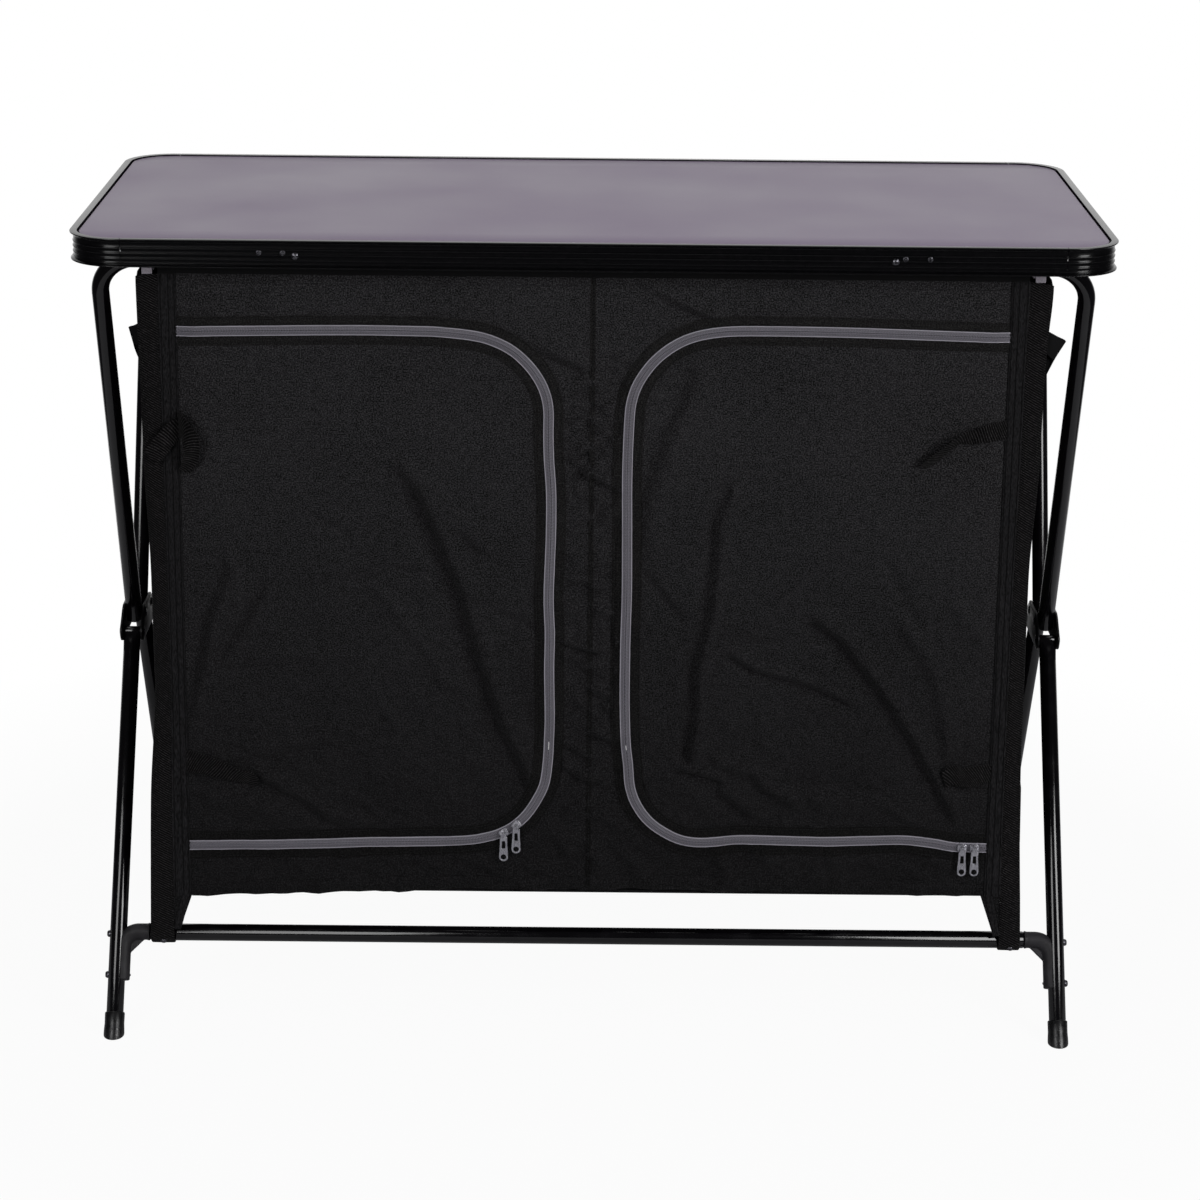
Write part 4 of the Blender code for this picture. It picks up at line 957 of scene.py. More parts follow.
# Folds of the front by kind: width and height in tenths of a millimetre, then x, z in millimetres
folds = {"ridge": ((70, 61, -181, 585, -149, 552, -104, 506), (46, -20, -316, 459, -271, 464, -226, 471),
                   (46, -20, -329, 403, -276, 423, -226, 443), (46, 27, -375, 381, -288, 391, -223, 389),
                   (46, -24, -226, 469, -198, 481, -157, 474, -100, 442, -49, 415), (46, -20, -274, 535, -234, 511),
                   (70, 26, -206, 458, -166, 407, -141, 364), (100, 41, -374, 239, -299, 226, -233, 212),
                   (60, 51, -125, 179, -83, 164, -45, 144), (90, 41, -271, 146, -242, 180),
                   (90, 36, -188, 147, -167, 176), (70, 41, -34, 661, 0, 668), (46, -32, -20, 626, 4, 641),
                   (46, -39, -27, 494, -19, 515, -3, 528), (46, -32, -27, 460, -9, 465), (46, -36, -3, 441, 8, 415),
                   (46, -32, -15, 320, 5, 335), (90, 26, -374, 758, -357, 734), (90, 26, -307, 761, -305, 731),
                   (90, 26, -252, 761, -251, 732), (90, 26, -204, 758, -188, 735), (46, -36, 50, 478, 88, 431),
                   (50, 41, 252, 522, 209, 480, 177, 441, 133, 397, 107, 373),
                   (80, 46, 308, 429, 330, 399, 343, 369, 353, 326, 357, 295),
                   (46, -20, 129, 408, 182, 409, 235, 411), (60, 66, 127, 286, 165, 275, 207, 241),
                   (70, 46, 174, 262, 249, 241, 282, 240), (60, 46, 290, 242, 320, 224, 339, 217),
                   (70, -26, 290, 485, 317, 429), (80, 26, 357, 447, 387, 413), (46, 36, 1, 684, 31, 696),
                   (46, -39, -12, 628, 6, 649, 26, 668), (46, -36, 4, 451, 24, 465),
                   (46, -46, 17, 431, 22, 388, 19, 362), (46, -39, -3, 357, 16, 330), (80, 36, 67, 190, 130, 180),
                   (100, 46, 130, 150, 192, 189), (90, 36, 225, 187, 293, 174)),
         "slope": ((130, -90, -165, 552, -129, 459, -112, 395, -88, 317, -61, 253),
                   (100, -70, -356, 474, -374, 427, -381, 383, -396, 336, -404, 278),
                   (60, -50, -318, 461, -341, 418, -360, 388), (80, -43, -323, 286, -277, 297, -244, 309),
                   (90, -59, -319, 257, -258, 220, -208, 209), (80, -50, -51, 700, -17, 686),
                   (60, -59, -26, 593, 2, 602), (60, -59, -8, 579, 29, 560), (60, -66, -31, 406, 4, 398),
                   (60, -50, -26, 300, 1, 283), (80, -70, -27, 271, 10, 258), (90, -54, -15, 238, -48, 218),
                   (60, -54, 46, 764, 82, 746, 114, 733), (150, -75, 94, 671, 70, 613, 51, 554, 46, 516),
                   (70, -70, 134, 563, 122, 530, 121, 487, 116, 432, 105, 388, 104, 332, 99, 290),
                   (100, -80, 225, 426, 243, 414, 278, 369, 317, 308, 353, 242, 366, 211),
                   (60, -59, 142, 393, 162, 380, 212, 366, 254, 347), (50, -54, 93, 274, 130, 264),
                   (90, -54, 132, 249, 160, 227), (60, -54, 24, 619, 0, 591, -16, 566), (60, -54, 25, 562, 9, 533),
                   (70, -66, -9, 309, 32, 305), (70, -59, -13, 256, 24, 276), (80, -43, 326, 184, 370, 166))}
# Where the sliders run: the cloth lies flatter there, in tenths of a millimetre
sliderRuns = ((-845, 2060, -3838, 1945), (3863, 1945, 1288, 1945), (-720, 2145, -539, 2342, -424, 2582, -385, 2845))
# Place and lean of each slider
sliders = {"left_1": (-0.0845, 0.20599, 28), "left_2": (-0.0720, 0.21445, 38.5), "right_1": (0.3738, 0.1945, 0),
           "right_2": (0.3863, 0.1945, 0)}
zipper = {"gap": 0.0002, "tape": 0.0050, "facing": 0.0145, "seam": 0.0122, "overlap": 0.0004, "opening": 0.0012,
          "coilOut": 0.0009, "coilLean": 62}
# Net over the front in metres, crumples, the folds' lift, and how far the net may stand in or out
relief = {"left": -0.455, "low": 0.075, "step": 0.002, "columns": 456, "rows": 356, "crumple": 0.0082, "lift": 1.4,
          "cell": 24, "fill": 0.0046, "slope": -1.65, "flat": 0.9, "flatWide": 0.045, "round": 0.030,
          "limits": (-0.0008, 0.0135)}


def awayFrom(x, z, points):  # distance to the nearest stretch of a line, and the side of it
    best, side = np.full(x.shape, 9.0), np.zeros(x.shape)
    for (x0, z0), (x1, z1) in zip(points, points[1:]):
        run = math.hypot(x1 - x0, z1 - z0)
        t = np.clip(((x - x0) * (x1 - x0) + (z - z0) * (z1 - z0)) / run ** 2, 0, 1)
        away = np.hypot(x - x0 - t * (x1 - x0), z - z0 - t * (z1 - z0))
        signed = ((x1 - x0) * (z - z0) - (z1 - z0) * (x - x0)) / run
        side = np.where(away < best, signed, side)
        best = np.minimum(best, away)
    return best, side


def makeRelief():  # how far the hung front cloth stands out from its flat plane, on a fine net
    x = relief["left"] + relief["step"] * np.arange(relief["columns"])
    z = relief["low"] + relief["step"] * np.arange(relief["rows"])
    x, z = np.meshgrid(x, z)
    fine = np.zeros(x.shape)
    middle = np.exp(-(x / 0.036) ** 6) * np.clip((0.72 - z) / 0.08, 0.15, 1)
    low = np.exp(-((z - 0.165) / 0.026) ** 4) * 0.45
    doors = 0.40 * np.clip((0.56 - z) / 0.25, 0, 1)
    share = np.clip(middle + low + doors, 0, 1)
    cell = relief["cell"]
    for i, j in zip(*np.nonzero(share > 0.01)):
        spot = (x[i, j] * cell, z[i, j] * cell * 1.5, 3.7)
        fine[i, j] = noise.ridged_multi_fractal(spot, 0.9, 2.1, 3, 0.9, 1.6) - 1.0
    out = relief["crumple"] * fine * share
    for kind, numbers in [(kind, row) for kind, group in folds.items() for row in group]:
        wide, high = numbers[0] / 10000, numbers[1] / 10000
        away, side = awayFrom(x, z, cut(numbers[2:], unit=1000))
        soft = np.exp(-(away / wide) ** 2)
        out += relief["lift"] * high * (soft if kind == "ridge" else relief["slope"] * side / wide * soft)
    calm = np.ones(x.shape)
    for points in zipLines.values():
        calm = np.minimum(calm, np.clip((awayFrom(x, z, cut(points))[0] - 0.003) / 0.012, 0.12, 1))
    broad = 0.0010 * np.sin(7.3 * x + 3.1 * z + 0.6) + 0.0007 * np.sin(15 * x - 9 * z + 1.9) + relief["fill"]
    for points in sliderRuns:
        broad *= 1 - relief["flat"] * np.exp(-(awayFrom(x, z, cut(points))[0] / relief["flatWide"]) ** 2)
    out = out * calm + broad
    out += 0.0007 * np.sin(78 * x + 1.0) * np.exp(-((z - 0.150) / 0.028) ** 2)
    for sx, sz, _ in sliders.values():
        out *= 1 - np.exp(-((x - sx) ** 2 + (z - sz) ** 2) / relief["round"] ** 2)
    return np.clip(out, *relief["limits"])


def sag(x, z):  # the relief at any place, calmed towards the top, the hem and the corners
    x, z = np.asarray(x, float), np.asarray(z, float)
    u = np.clip((x - relief["left"]) / relief["step"], 0, relief["columns"] - 1.001)
    v = np.clip((z - relief["low"]) / relief["step"], 0, relief["rows"] - 1.001)
    i, j = u.astype(int), v.astype(int)
    a, b = u - i, v - j
    low, high = (net[k, i] * (1 - a) + net[k, i + 1] * a for k in (j, j + 1))
    calm = np.clip((cloth["top"] - z) / 0.03, 0, 1) * np.clip((z - 0.112) / 0.03, 0, 1)
    return (low * (1 - b) + high * b) * calm * np.clip((0.402 - np.abs(x)) / 0.02, 0.15, 1)


# Height and draw of the corners on the left and right, in tenths of a millimetre
waists = {-1: (850, -30, 1670, -9, 2470, 13, 2890, 41, 3420, 79, 4350, 75, 5000, 66, 5670, 38, 6540, 28, 7450, 12,
               7800, 8),
          1: (850, 0, 1380, 21, 2130, 56, 2880, 76, 3510, 78, 4230, 88, 4950, 85, 5760, 40, 6710, 36, 7250, 19, 7540,
              -8, 7800, -8)}
corner = {"start": 0.405, "wide": 0.032, "back": 0.9, "slope": 0.0030, "round": 0.0042, "behind": 0.35,
          "strap": 0.0215, "rise": 0.016}


def drawIn(spots):  # x, y, z of points near the corners
    x, y, z = spots.T
    sx, outside = np.sign(x), np.abs(y) > 0.2
    heights = np.linspace(0.08, 0.78, 141)
    pull = np.zeros(len(x))
    for word, numbers in waists.items():
        line = np.interp(heights, *np.array(cut(numbers)).T)
        soft = np.convolve(np.pad(line, 6, mode="edge"), np.hanning(15)[1:-1] / np.hanning(15).sum(), "valid")
        pull = np.where(sx == word, np.interp(z, heights, soft), pull)
    share = np.clip((np.abs(x) - corner["start"]) / corner["wide"], 0, 1.15)
    depth = corner["behind"] + (1 - corner["behind"]) * np.clip(np.abs(y) / cloth["face"], 0, 1)
    spots[:, 0] -= sx * pull * share * depth
    spots[:, 1] -= np.sign(y) * np.clip(pull, 0, 1) * corner["back"] * share ** 3 * outside
    outer = np.clip((np.abs(x) - cloth["shoulder"]) / corner["strap"], 0, 1.1) * outside
    rise = np.clip((z - cloth["top"] + corner["rise"]) / corner["rise"], 0, 1)
    spots[:, 2] -= corner["slope"] * outer ** 2 * rise
    lift = np.clip((z - cloth["top"] + corner["round"]) / corner["round"], 0, 1)
    spots[:, 0] -= sx * outer ** 2 * corner["round"] * (1 - np.sqrt(1 - 0.999 * lift ** 2))
    return spots


def drape(piece, side):
    spots = np.empty(len(piece.data.vertices) * 3)
    piece.data.vertices.foreach_get("co", spots)
    spots = spots.reshape(-1, 3)
    spots[:, 1] += side * sag(spots[:, 0], spots[:, 2])
    drawIn(spots)
    piece.data.vertices.foreach_set("co", spots.ravel())
    piece.data.update()


def curved(points, steps):  # a smooth curve through points, with equal steps between each two
    ends = np.vstack([2 * points[0] - points[1], points, 2 * points[-1] - points[-2]])
    made = []
    for p0, p1, p2, p3 in zip(ends, ends[1:], ends[2:], ends[3:]):
        bend, twist = 2 * p0 - 5 * p1 + 4 * p2 - p3, 3 * p1 - p0 - 3 * p2 + p3
        for t in np.linspace(0, 1, steps, endpoint=False):
            made.append(0.5 * (2 * p1 + (p2 - p0) * t + bend * t ** 2 + twist * t ** 3))
    return np.array(made + [points[-1]])


def smoothLine(points, step):  # an even curve through flat points
    fine = curved(np.array(points, float), 12)
    length = np.concatenate([[0], np.cumsum(np.hypot(*np.diff(fine, axis=0).T))])
    even = np.linspace(0, length[-1], max(2, round(length[-1] / step) + 1))
    return np.stack([np.interp(even, length, fine[:, 0]), np.interp(even, length, fine[:, 1])], 1)


def beside(line, distance):  # the line moved sideways, outwards from its door for a positive distance
    way = np.gradient(line, axis=0)
    way /= np.hypot(*way.T)[:, None]
    aside = np.stack([-way[:, 1], way[:, 0]], 1)
    inside = np.array([np.sign(line[0, 0]) * 0.22, 0.45])
    if np.dot(aside[len(line) // 2], line[len(line) // 2] - inside) < 0:
        aside = -aside
    return line + aside * distance


def insideOf(points, loops):
    hit = np.zeros(len(points), bool)
    px, pz = points[:, 0][:, None], points[:, 1][:, None]
    for loop in loops:
        a, b = loop, np.roll(loop, -1, axis=0)
        cross = (a[:, 1] > pz) != (b[:, 1] > pz)
        with np.errstate(divide="ignore", invalid="ignore"):
            where = (b[:, 0] - a[:, 0]) * (pz - a[:, 1]) / (b[:, 1] - a[:, 1]) + a[:, 0]
        hit ^= (cross & (px < where)).sum(1) % 2 == 1
    return hit


def dense(loop, pitch):
    made = []
    for a, b in zip(loop, np.roll(loop, -1, axis=0)):
        steps = max(1, round(float(np.hypot(*(b - a))) / pitch))
        made += [a + (b - a) * i / steps for i in range(steps)]
    return np.array(made)


def thicken(piece, thick, offset):
    wall = piece.modifiers.new("thickness", "SOLIDIFY")
    wall.thickness, wall.offset = thick, offset
    return applied(piece, 60)


def flatSheet(name, loops, place, look, turn=False, pitch=cloth["pitch"]):  # an even net between the loops
    loops = [dense(np.array(loop, float), pitch) for loop in loops]
    rim = np.vstack(loops)
    across, upward = (np.arange(low + pitch / 2, high, pitch) for low, high in zip(rim.min(0), rim.max(0)))
    grid = np.stack(np.meshgrid(across, upward), -1).reshape(-1, 2)
    grid = grid[insideOf(grid, loops)]
    tree = kdtree.KDTree(len(rim))
    for i, (x, z) in enumerate(rim):
        tree.insert((x, z, 0), i)
    tree.balance()
    grid = grid[[tree.find((x, z, 0))[2] > 0.55 * pitch for x, z in grid]] if len(grid) else grid
    edges, start = [], 0
    for loop in loops:
        edges += [(start + i, start + (i + 1) % len(loop)) for i in range(len(loop))]
        start += len(loop)
    spots, _, faces, *_ = delaunay_2d_cdt([Vector(p) for p in np.vstack([rim, grid])], edges, [], 0, 1e-7)
    flat = np.array([tuple(p) for p in spots])
    keep = insideOf(np.array([flat[list(f)].mean(0) for f in faces]), loops)
    faces = [tuple(reversed(f)) if turn else tuple(f) for f, k in zip(faces, keep) if k]
    piece = build(name, [place(u, v) for u, v in flat], faces, look, [tuple(p) for p in flat], turnOut=False)
    return thicken(piece, cloth["thick"], -1)


def onWall(side, lift=0.0):
    return lambda x, z: Vector((x, side * (cloth["face"] + lift), z))


def wallRun(line, side, lift=0.0):
    return [onWall(side, lift)(x, z) for x, z in line]


def onCloth(piece, side, door=None):  # drapes the piece, then lets it bend at the crease
    word = words[side]
    upper, lower = (f"door_{door}", f"door_{door}_hem") if door else (f"{word}_cloth_upper", f"{word}_cloth_lower")
    drape(piece, side)
    start, end = ((0, side * cloth["face"], cloth["crease"] + s * cloth["blend"]) for s in (1, -1))
    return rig.blend(piece, upper, lower, start=start, end=end)


def band(name, line, side, section, look, lift=0.00004):  # a ribbon that lies on the wall along a line
    return sweep(name, wallRun(line, side, lift), section, look, facing=(0, side, 0), angle=50)


def stitches(name, paths, side, look, spacing=0.0034, thread=0.0026, radius=0.00028, lean=0.0):
    sizes = {"Spacing": spacing, "Thread_Length": thread, "Thread_Radius": radius, "Lean": lean}
    return runTree(stitchTree, name, pathHost(name, paths), look, Facing=(0, side, 0), **sizes)


def straight(x0, z0, x1, z1, step=0.012):
    count = max(2, round(math.hypot(x1 - x0, z1 - z0) / step) + 1)
    return np.stack([np.linspace(x0, x1, count), np.linspace(z0, z1, count)], 1)


def measures(loops):  # flat size and area, as the table of sheets wants them
    wide, high = np.ptp(np.vstack(loops), axis=0)
    area = 0.0
    for loop in loops:
        x, z = np.array(loop, float).T
        area += abs(float(np.dot(x, np.roll(z, -1)) - np.dot(z, np.roll(x, -1)))) / 2
    return {"flat": (float(wide), float(high)), "area": area}


def lie(low, high, sign):  # section of a tape from one side offset to the other, with a bead at its outer edge
    made = [(low, 0), (low, 0.0007), (low + 0.0014, 0.0008), (low + 0.0018, 0.0005), (high - 0.0012, 0.0005),
            (high - 0.0009, 0.0010), (high - 0.0002, 0.0010), (high, 0.0005), (high, 0)]
    return [(sign * s, h) for s, h in made]


def grooved(half, high, grooves, deep=0.0004, wide=0.0005):  # a flat strip with sewn channels
    made = [(-half, 0), (-half, high * 0.6), (-half + 0.0006, high)]
    for g in grooves:
        made += [(g - wide, high), (g - wide * 0.3, high - deep), (g + wide * 0.3, high - deep), (g + wide, high)]
    return made + [(half - 0.0006, high), (half, high * 0.6), (half, 0)]


def wallOutline(side):
    hem = [(-side * x, z) for x, z in cut(hemLine)]
    return hem[:2] + [tuple(p) for p in smoothLine(hem[2:-2], 0.01)] + hem[-2:]


def frontCuts():  # the front is sewn from a middle piece and a band over and under each door
    low, split, high = np.array(wallOutline(-1)), cloth["split"], cloth["top"]
    cuts, posts = {}, []
    for name, sx in hands:
        line = beside(smoothLine(cut(zipLines[name]), 0.006), zipper["opening"])
        far = np.abs(line[:, 0]) > split + 0.001
        half = len(line) // 2
        first, last = np.flatnonzero(far[:half])[-1], half + np.flatnonzero(far[half:])[0]
        over, under = (sx * split, line[first, 1]), (sx * split, line[last, 1])
        foot = (sx * split, float(np.interp(sx * split, low[2:-2, 0], low[2:-2, 1])))
        post = [tuple(p) for p in line[first + 1:last] if abs(p[0]) < split - 0.001]
        posts.append(([over] + post + [under, foot])[::-sx])
        hem = [tuple(p) for p in low if sx * p[0] > split + 0.001][::-sx]
        outer = sx * cloth["shoulder"]
        over = [tuple(p) for p in line[:first + 1]] + [over, (sx * split, high)]
        cuts["Top" + name.title()] = [(outer, high), (outer, line[0, 1])] + over
        under = [foot, under] + [tuple(p) for p in line[last:]]
        cuts["Low" + name.title()] = hem + under + [(outer, line[-1, 1])]
    hem = [tuple(p) for p in low if abs(p[0]) < split - 0.001]
    cuts["Middle"] = [(-split, high)] + posts[0] + hem + posts[1] + [(split, high)]
    return cuts


def makeWall(side, extras):
    word, top, x = words[side], cloth["top"], cloth["shoulder"]
    cuts = frontCuts() if side < 0 else {"Wall": wallOutline(side) + [(-x, top), (x, top)]}
    for title, loop in cuts.items():
        wall = flatSheet(word + title, [loop], onWall(side), looks["cloth"], side > 0)
        onCloth(wall, side)
        main = title in ("Middle", "Wall")
        if main:
            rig.replaces(wall, word + "_panel_upper", word + "_panel_lower")
        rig.sheet(wall, held="hung", rests_on=[word + "Sleeve"], with_pieces=extras if main else (), **measures([loop]))


def roundBar(centre, radius, degrees, side):  # points round a bar, with the way each one faces
    turns = [math.radians(a) for a in degrees]
    run = [(centre[0] + radius * math.cos(a), centre[1] + radius * math.sin(a)) for a in turns]
    return run, [(0, side * math.cos(a), math.sin(a)) for a in turns]


# Straps, bindings and hem: half widths, heights and the sewn lines beside the middle, in metres
strap = {"low": 0.0885, "steps": 92, "wrap": 0.0090, "turns": range(-30, -200, -17), "tail": (0.0093, 0.020),
         "seams": (-0.0088, 0.0086), "high": 0.0016}
binding = {"low": (0.1345, 0.1420), "half": 0.0089, "high": 0.0018, "channels": (0.0063, -0.0014, -0.0072),
           "deep": 0.0010, "wide": 0.0007, "thread": 0.0011, "gussetTop": 0.4035, "gussetTip": (0.4125, 0.0985)}
hemming = {"up": 0.0062, "half": 0.0066, "high": 0.0011, "groove": 0.0040, "seam": 0.0100, "end": 0.399}
sleeve = {"half": 0.4150, "gap": 0.0004, "rise": ((0.0016, 0.7655), (0.0014, 0.7705), (0.0024, 0.7770)),
          "tail": (0.7700, 0.7520), "thick": 0.0009, "wave": 0.0003}


def makeStrap(word, name, side, sx):  # corner webbing, wrapped round the lower crossbar
    half = (cloth["side"] - cloth["shoulder"]) / 2
    section = [(-half, 0), (-half, 0.0010), (-half + 0.0007, 0.0015), (0, 0.0017), (half - 0.0007, 0.0015),
               (half + 0.0002, 0.0008), (half + 0.0004, 0), (half - 0.0006, 0)]
    run = [(cloth["face"], z) for z in np.linspace(strap["low"], cloth["top"], strap["steps"])][::-1]
    wrap, facing = roundBar((lowBar.y, lowBar.z), strap["wrap"], strap["turns"], side)
    facing = [(0, side, 0)] * len(run) + facing + [(0, -side, 0)]
    run += wrap + [(lowBar.y - strap["tail"][0], lowBar.z + strap["tail"][1])]
    path = [(sx * (cloth["shoulder"] + half), side * y, z) for y, z in run]
    section = [(side * sx * s, h) for s, h in section]
    return sweep(f"{word}{name}Strap", path, section, looks["webbing"], facing=facing, angle=50)


def makeSleeve(word, side):  # up the front of the crossbar, over it and down behind
    y, z, r = tubes["barY"], tubes["barZ"], tubes["radius"] + sleeve["gap"]
    run = [(cloth["face"] - back, high) for back, high in sleeve["rise"]]
    over, facing = roundBar((y, z), r, range(0, 181, 15), side)
    run += over + [(y - r, low) for low in sleeve["tail"]]
    facing = [(0, side, 0), (0, side, 0), (0, side, 0.15)] + facing + [(0, -side, 0)] * 2
    spots = np.linspace(-sleeve["half"], sleeve["half"], 60)
    section = [(s, sleeve["thick"] + sleeve["wave"] * math.sin(90 * s)) for s in spots[::-1]]
    section = [(s, 0) for s in spots] + section
    path = [(0, side * a, b) for a, b in run]
    # the sleeve takes the near-black look: painted shade under the tabletop's edge
    return sweep(word + "Sleeve", path, section, looks["sleeve"], facing=facing, angle=60)


def makeSeams(side):  # straps, bound seams, middle seam, hem and the sleeve over the upper crossbar
    word, top, seam = words[side], cloth["top"], (cloth["seamIn"] + cloth["shoulder"]) / 2
    middle = (cloth["shoulder"] + cloth["side"]) / 2
    made, sewn = [], []

    def sew(x0, z0, x1, z1, lift):
        sewn.append(wallRun(straight(x0, z0, x1, z1), side, lift))

    def lay(name, line, section, look):
        made.append(onCloth(band(word + name, line, side, section, look), side))
    for name, sx in (("Left", -1), ("Right", 1)):
        made.append(onCloth(makeStrap(word, name, side, sx), side))
        low = binding["low"][sx > 0]
        channels = sorted(-sx * side * c for c in binding["channels"])
        strip = grooved(binding["half"], binding["high"], channels, binding["deep"], binding["wide"])
        lay(name + "BoundSeam", straight(sx * seam, low, sx * seam, top, 0.008), strip, looks["binding"])
        tip, foot = binding["gussetTip"]
        gusset = straight(sx * tip, foot, sx * binding["gussetTop"], low, 0.006)
        lay(name + "GussetBinding", gusset, grooved(0.0036, 0.0011, (0.0,)), looks["binding"])
        for offset in binding["channels"]:
            sew(sx * (seam + offset), 0.145, sx * (seam + offset), top - 0.002, binding["thread"])
        for offset in strap["seams"]:
            sew(sx * (middle + offset), 0.10, sx * (middle + offset), top - 0.008, strap["high"])
    line = straight(side * 0.0005, top, 0.0, 0.1480, 0.008)
    lay("MiddleSeam", line, grooved(0.0026, 0.0006, (0.0,), 0.0005, 0.0006), looks["facing"])
    for x in (-0.0003, 0.0003):
        sew(x, 0.156, x, top - 0.002, 0.0010)
    hem = smoothLine([(-side * x, z) for x, z in cut(hemLine) if abs(x) < hemming["end"]], 0.008)
    strip = grooved(hemming["half"], hemming["high"], (hemming["groove"],))
    lay("Hem", hem + [0, hemming["up"]], strip, looks["cloth"])
    sewn.append(wallRun(hem + [0, hemming["seam"]], side, 0.0009))
    sew(-0.4145, top - 0.0075, 0.4145, top - 0.0075, 0.0013)
    made.append(onCloth(stitches(word + "Stitches", sewn, side, looks["thread"]), side))
    return made + [settle(makeSleeve(word, side), word + "_cloth_upper")]


strapRivet = {"x": 0.4277, "turn": 38, "out": 0.0106, "head": (0, 12, 16, 11, 26, 7, 32, 0, 32, -3, 0, -3)}


def makeStrapRivets(side):
    turn, out = math.radians(strapRivet["turn"]), strapRivet["out"]
    y, z = lowBar.y + out * math.cos(turn), lowBar.z - out * math.sin(turn)
    aim = (0, side * math.cos(turn), -math.sin(turn))
    spots = [((sx * strapRivet["x"], side * y, z), aim) for sx in (-1, 1)]
    made = rivets(words[side] + "StrapRivets", cut(strapRivet["head"]), spots, 20)
    return settle(made, words[side] + "_cloth_lower")


def makeZips():  # tape, facing, stitches and coil on the wall's and on the door's side of each zip
    made = {}
    tape, seam, inner = zipper["tape"], zipper["seam"], zipper["tape"] - zipper["overlap"]
    middle, half = (inner + zipper["facing"]) / 2, (zipper["facing"] - inner) / 2
    for name, sign in hands:
        line = smoothLine(cut(zipLines[name]), 0.005)
        for title, way, door in ((name + "ZipOuter", 1, None), (name + "ZipInner", -1, name)):
            strip = [(sign * way * s, h) for s, h in grooved(half, 0.0007, (seam - middle,))]
            sewn = ((seam, 0.0005), (tape + zipper["overlap"], 0.0010))
            sewn = [wallRun(beside(line, way * out), -1, lift) for out, lift in sewn]
            teeth = [wallRun(beside(line, way * zipper["coilOut"]), -1, 0.0015)]
            lean = math.radians(zipper["coilLean"]) * way
            pieces = [
                band(title + "Tape", line, -1, lie(zipper["gap"], tape, sign * way), looks["tape"], 0.0007),
                band(title + "Facing", beside(line, way * middle), -1, strip, looks["facing"]),
                stitches(title + "Stitches", sewn, -1, looks["thread"], radius=0.0004),
                stitches(title + "Coil", teeth, -1, looks["coil"], 0.0015, 0.0020, 0.00036, lean)]
            made[name, door] = [onCloth(piece, -1, door) for piece in pieces]
    return made


def makeDoor(name, extras):
    edge = beside(smoothLine(cut(zipLines[name]), 0.006), -zipper["opening"])
    edge[:, 0] = np.clip(edge[:, 0], -0.3979, 0.3979)
    door = flatSheet(name + "Door", [edge], onWall(-1), looks["cloth"])
    onCloth(door, -1, name)
    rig.replaces(door, f"door_{name}_upper", f"door_{name}_lower")
    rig.sheet(door, held="hung", rests_on=["frontMiddle"], with_pieces=extras, **measures([edge]))


def hang(title, side, half, loops, place, look, node=None, turn=False, pitch=0.014, **told):  # the fold squashes it
    sheet = flatSheet(title, loops, place, look, turn, pitch)
    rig.squash(sheet, "frame_fold", (0, 1, 0), (0, side * cloth["face"], 0), cloth["squash"])
    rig.ride(sheet, f"{words[side]}_cloth_{half.lower()}")
    if node and side < 0:
        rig.replaces(sheet, node)
    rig.sheet(sheet, **told)


# Side panels: the gusset's tip and inner corner, the net's pitch, and how the panel hangs
sides = {"tip": 0.1010, "gusset": 0.045, "pitch": 0.008, "in": 0.0004, "reach": 0.21, "stand": 0.0006}


def bulge(y, z):  # how far a side panel stands out
    waves = sides["stand"] * np.exp(-((z - 0.42) / 0.13) ** 2) + 0.0012 * np.sin(11 * y + 13 * z)
    return waves + 0.0008 * np.sin(23 * y - 31 * z + 1) - 0.0004


def makeSides():
    hem, top, crease = cloth["floor"], cloth["top"], cloth["crease"]
    for name, sx in hands:
        def place(u, v):
            calm = min(1, (top - v) / 0.05) * min(1, max(0, v - 0.10) / 0.05)
            calm *= 0.55 + 0.45 * math.cos(math.pi * u / 2 / sides["reach"])
            spot = np.array([[sx * (cloth["side"] - sides["in"] + float(bulge(u, v)) * calm), u, v]])
            return Vector(drawIn(spot)[0])
        for word, side in walls:
            y0, y1 = side * cloth["slit"], side * cloth["depth"]
            inner, low = side * (cloth["depth"] - sides["gusset"]), crease - cloth["cut"]
            upper = [(y0, crease), (y1, crease), (y1, top), (y0, top)]
            lower = [(y0, hem), (inner, hem), (y1, sides["tip"]), (y1, low), (y0, low)]
            for half, loop in (("Upper", upper), ("Lower", lower)):
                node = "side_panel_" + name if half == "Upper" else None
                title, pitch = f"{name}Side{word.title()}{half}", sides["pitch"]
                hang(title, side, half, [loop], place, looks["cloth"], node, sx < 0, pitch,
                     held="hung", rests_on=[f"{word}{name.title()}Strap"], **measures([loop]))


# Floor and shelves: title, half, node and how far each sags
levels = (("floorSheet", cloth["floor"], "lower", "cupboard_floor", 0.0025),
          ("shelfLow", cloth["shelves"][0], "upper", "shelf_lower", 0.0035),
          ("shelfHigh", cloth["shelves"][1], "upper", "shelf_upper", 0.0035))
divider = {"over": 0.0006, "under": 0.0012, "low": 0.0016, "narrower": 0.0006}


